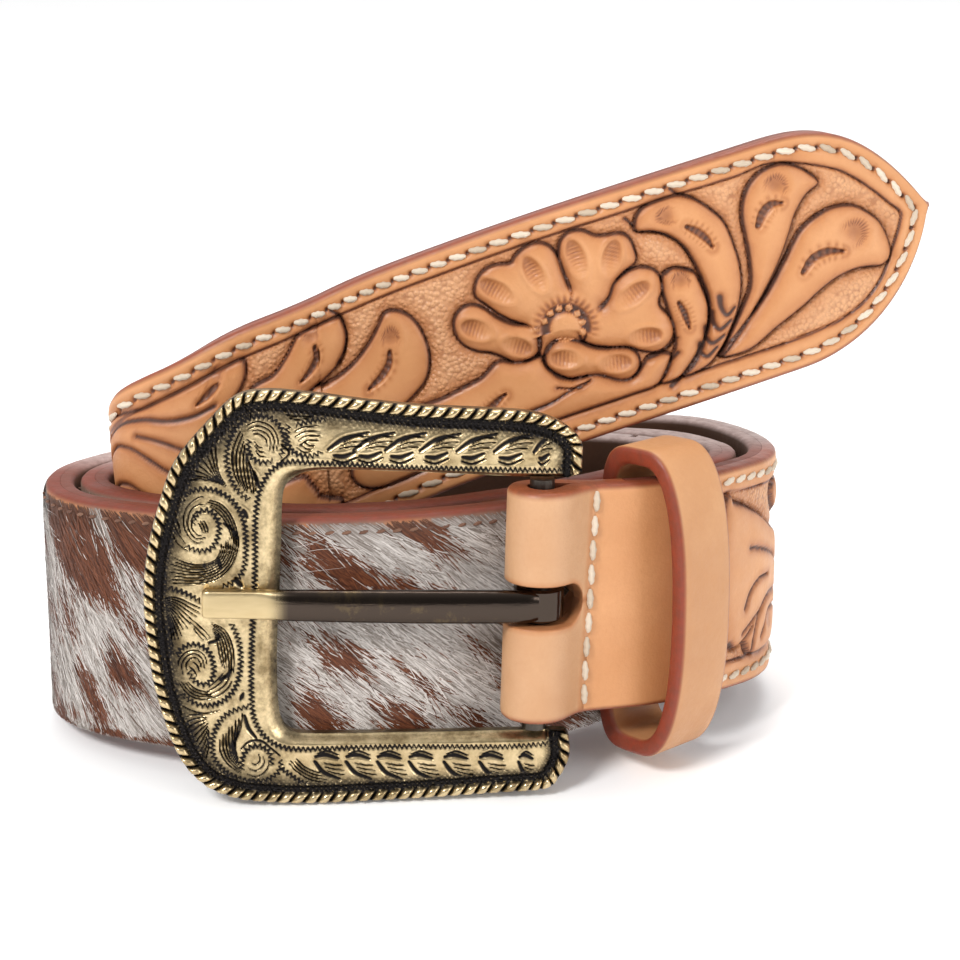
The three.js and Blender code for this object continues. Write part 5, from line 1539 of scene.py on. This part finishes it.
verts, faces, values = prong()
finish_piece(make_object("prong_bar", verts, faces, values, sharp=40), prong_material(), "prong",
             ("prong",))

# CAD nodes keep a procedural finish of their own
for name, mat in (("lining_strap", LINING), ("buckle_billet", TAN), ("hide_inlay", SKIN),
                  ("tip_billet", TAN), ("keeper_loop", KEEPER_TAN), ("buckle_frame", BRASS),
                  ("heel_bar", STEEL), ("prong", BRASS)):
    mesh = frame["nodes"][name].data
    mesh.materials.clear()
    mesh.materials.append(mat)

# Floor, light and camera
floor_mesh = bpy.data.meshes.new("floor")
floor_mesh.from_pydata([(-6, -4, 0), (6, -4, 0), (6, 12, 0), (-6, 12, 0)], [], [(0, 1, 2, 3)])
floor = bpy.data.objects.new("floor", floor_mesh)
bpy.context.scene.collection.objects.link(floor)
pale = plain("pale_floor", (0.93, 0.93, 0.93), (0.92, 0.92, 0.92), 0.9, scale=20, depth=0.0)
floor_glow = next(x for x in pale.node_tree.nodes if x.type == "BSDF_PRINCIPLED").inputs
# painted light: the floor glows faintly, lifting its brightness and the shadows on it
floor_glow["Emission Color"].default_value = (1, 1, 1, 1)
floor_glow["Emission Strength"].default_value = 0.07
floor_mesh.materials.append(pale)

# Studio: bright behind and above, dim on the viewer's side
sky = bpy.data.worlds.new("studio")
sky.use_nodes = True
nodes, links = sky.node_tree.nodes, sky.node_tree.links
place = nodes.new("ShaderNodeTexCoord")
split = nodes.new("ShaderNodeSeparateXYZ")
fade = nodes.new("ShaderNodeMapRange")
links.new(place.outputs["Generated"], split.inputs[0])
links.new(split.outputs[1], fade.inputs[0])
for k, x in zip((1, 2, 3, 4), (-0.9, 0.3, 0.22, 0.95)):
    fade.inputs[k].default_value = x
links.new(fade.outputs[0], nodes["Background"].inputs[1])
nodes["Background"].inputs[0].default_value = (1, 1, 1, 1)
bpy.context.scene.world = sky


def soft_light(name, place, target, size, power):
    lamp = bpy.data.lights.new(name, "AREA")
    lamp.shape = "DISK"
    lamp.size = size
    lamp.energy = power
    obj = bpy.data.objects.new(name, lamp)
    obj.location = place
    direction = np.array(target) - np.array(place)
    flat = math.hypot(direction[0], direction[1])
    obj.rotation_euler = (math.atan2(flat, -direction[2]), 0, math.atan2(-direction[0], direction[1]))
    bpy.context.scene.collection.objects.link(obj)


soft_light("key", (-0.40, -0.60, 0.70), (0, 0, 0.04), 0.28, 7.5)
soft_light("fill", (0.75, -0.55, 0.35), (0, 0, 0.05), 0.5, 3)
soft_light("top", (0.1, 0.35, 0.9), (0, 0, 0.04), 0.5, 4)

camera = bpy.data.objects.new("camera", bpy.data.cameras.new("camera"))
camera.data.sensor_width = 36
camera.data.lens = 84.64
camera.location = (-0.000575, -0.350494, 0.163519)
camera.rotation_euler = (math.radians(90 - 19.4), 0, 0)
camera.data.clip_start = 0.01
camera.data.clip_end = 50
bpy.context.scene.collection.objects.link(camera)
bpy.context.scene.camera = camera
bpy.context.scene.view_settings.view_transform = "Standard"
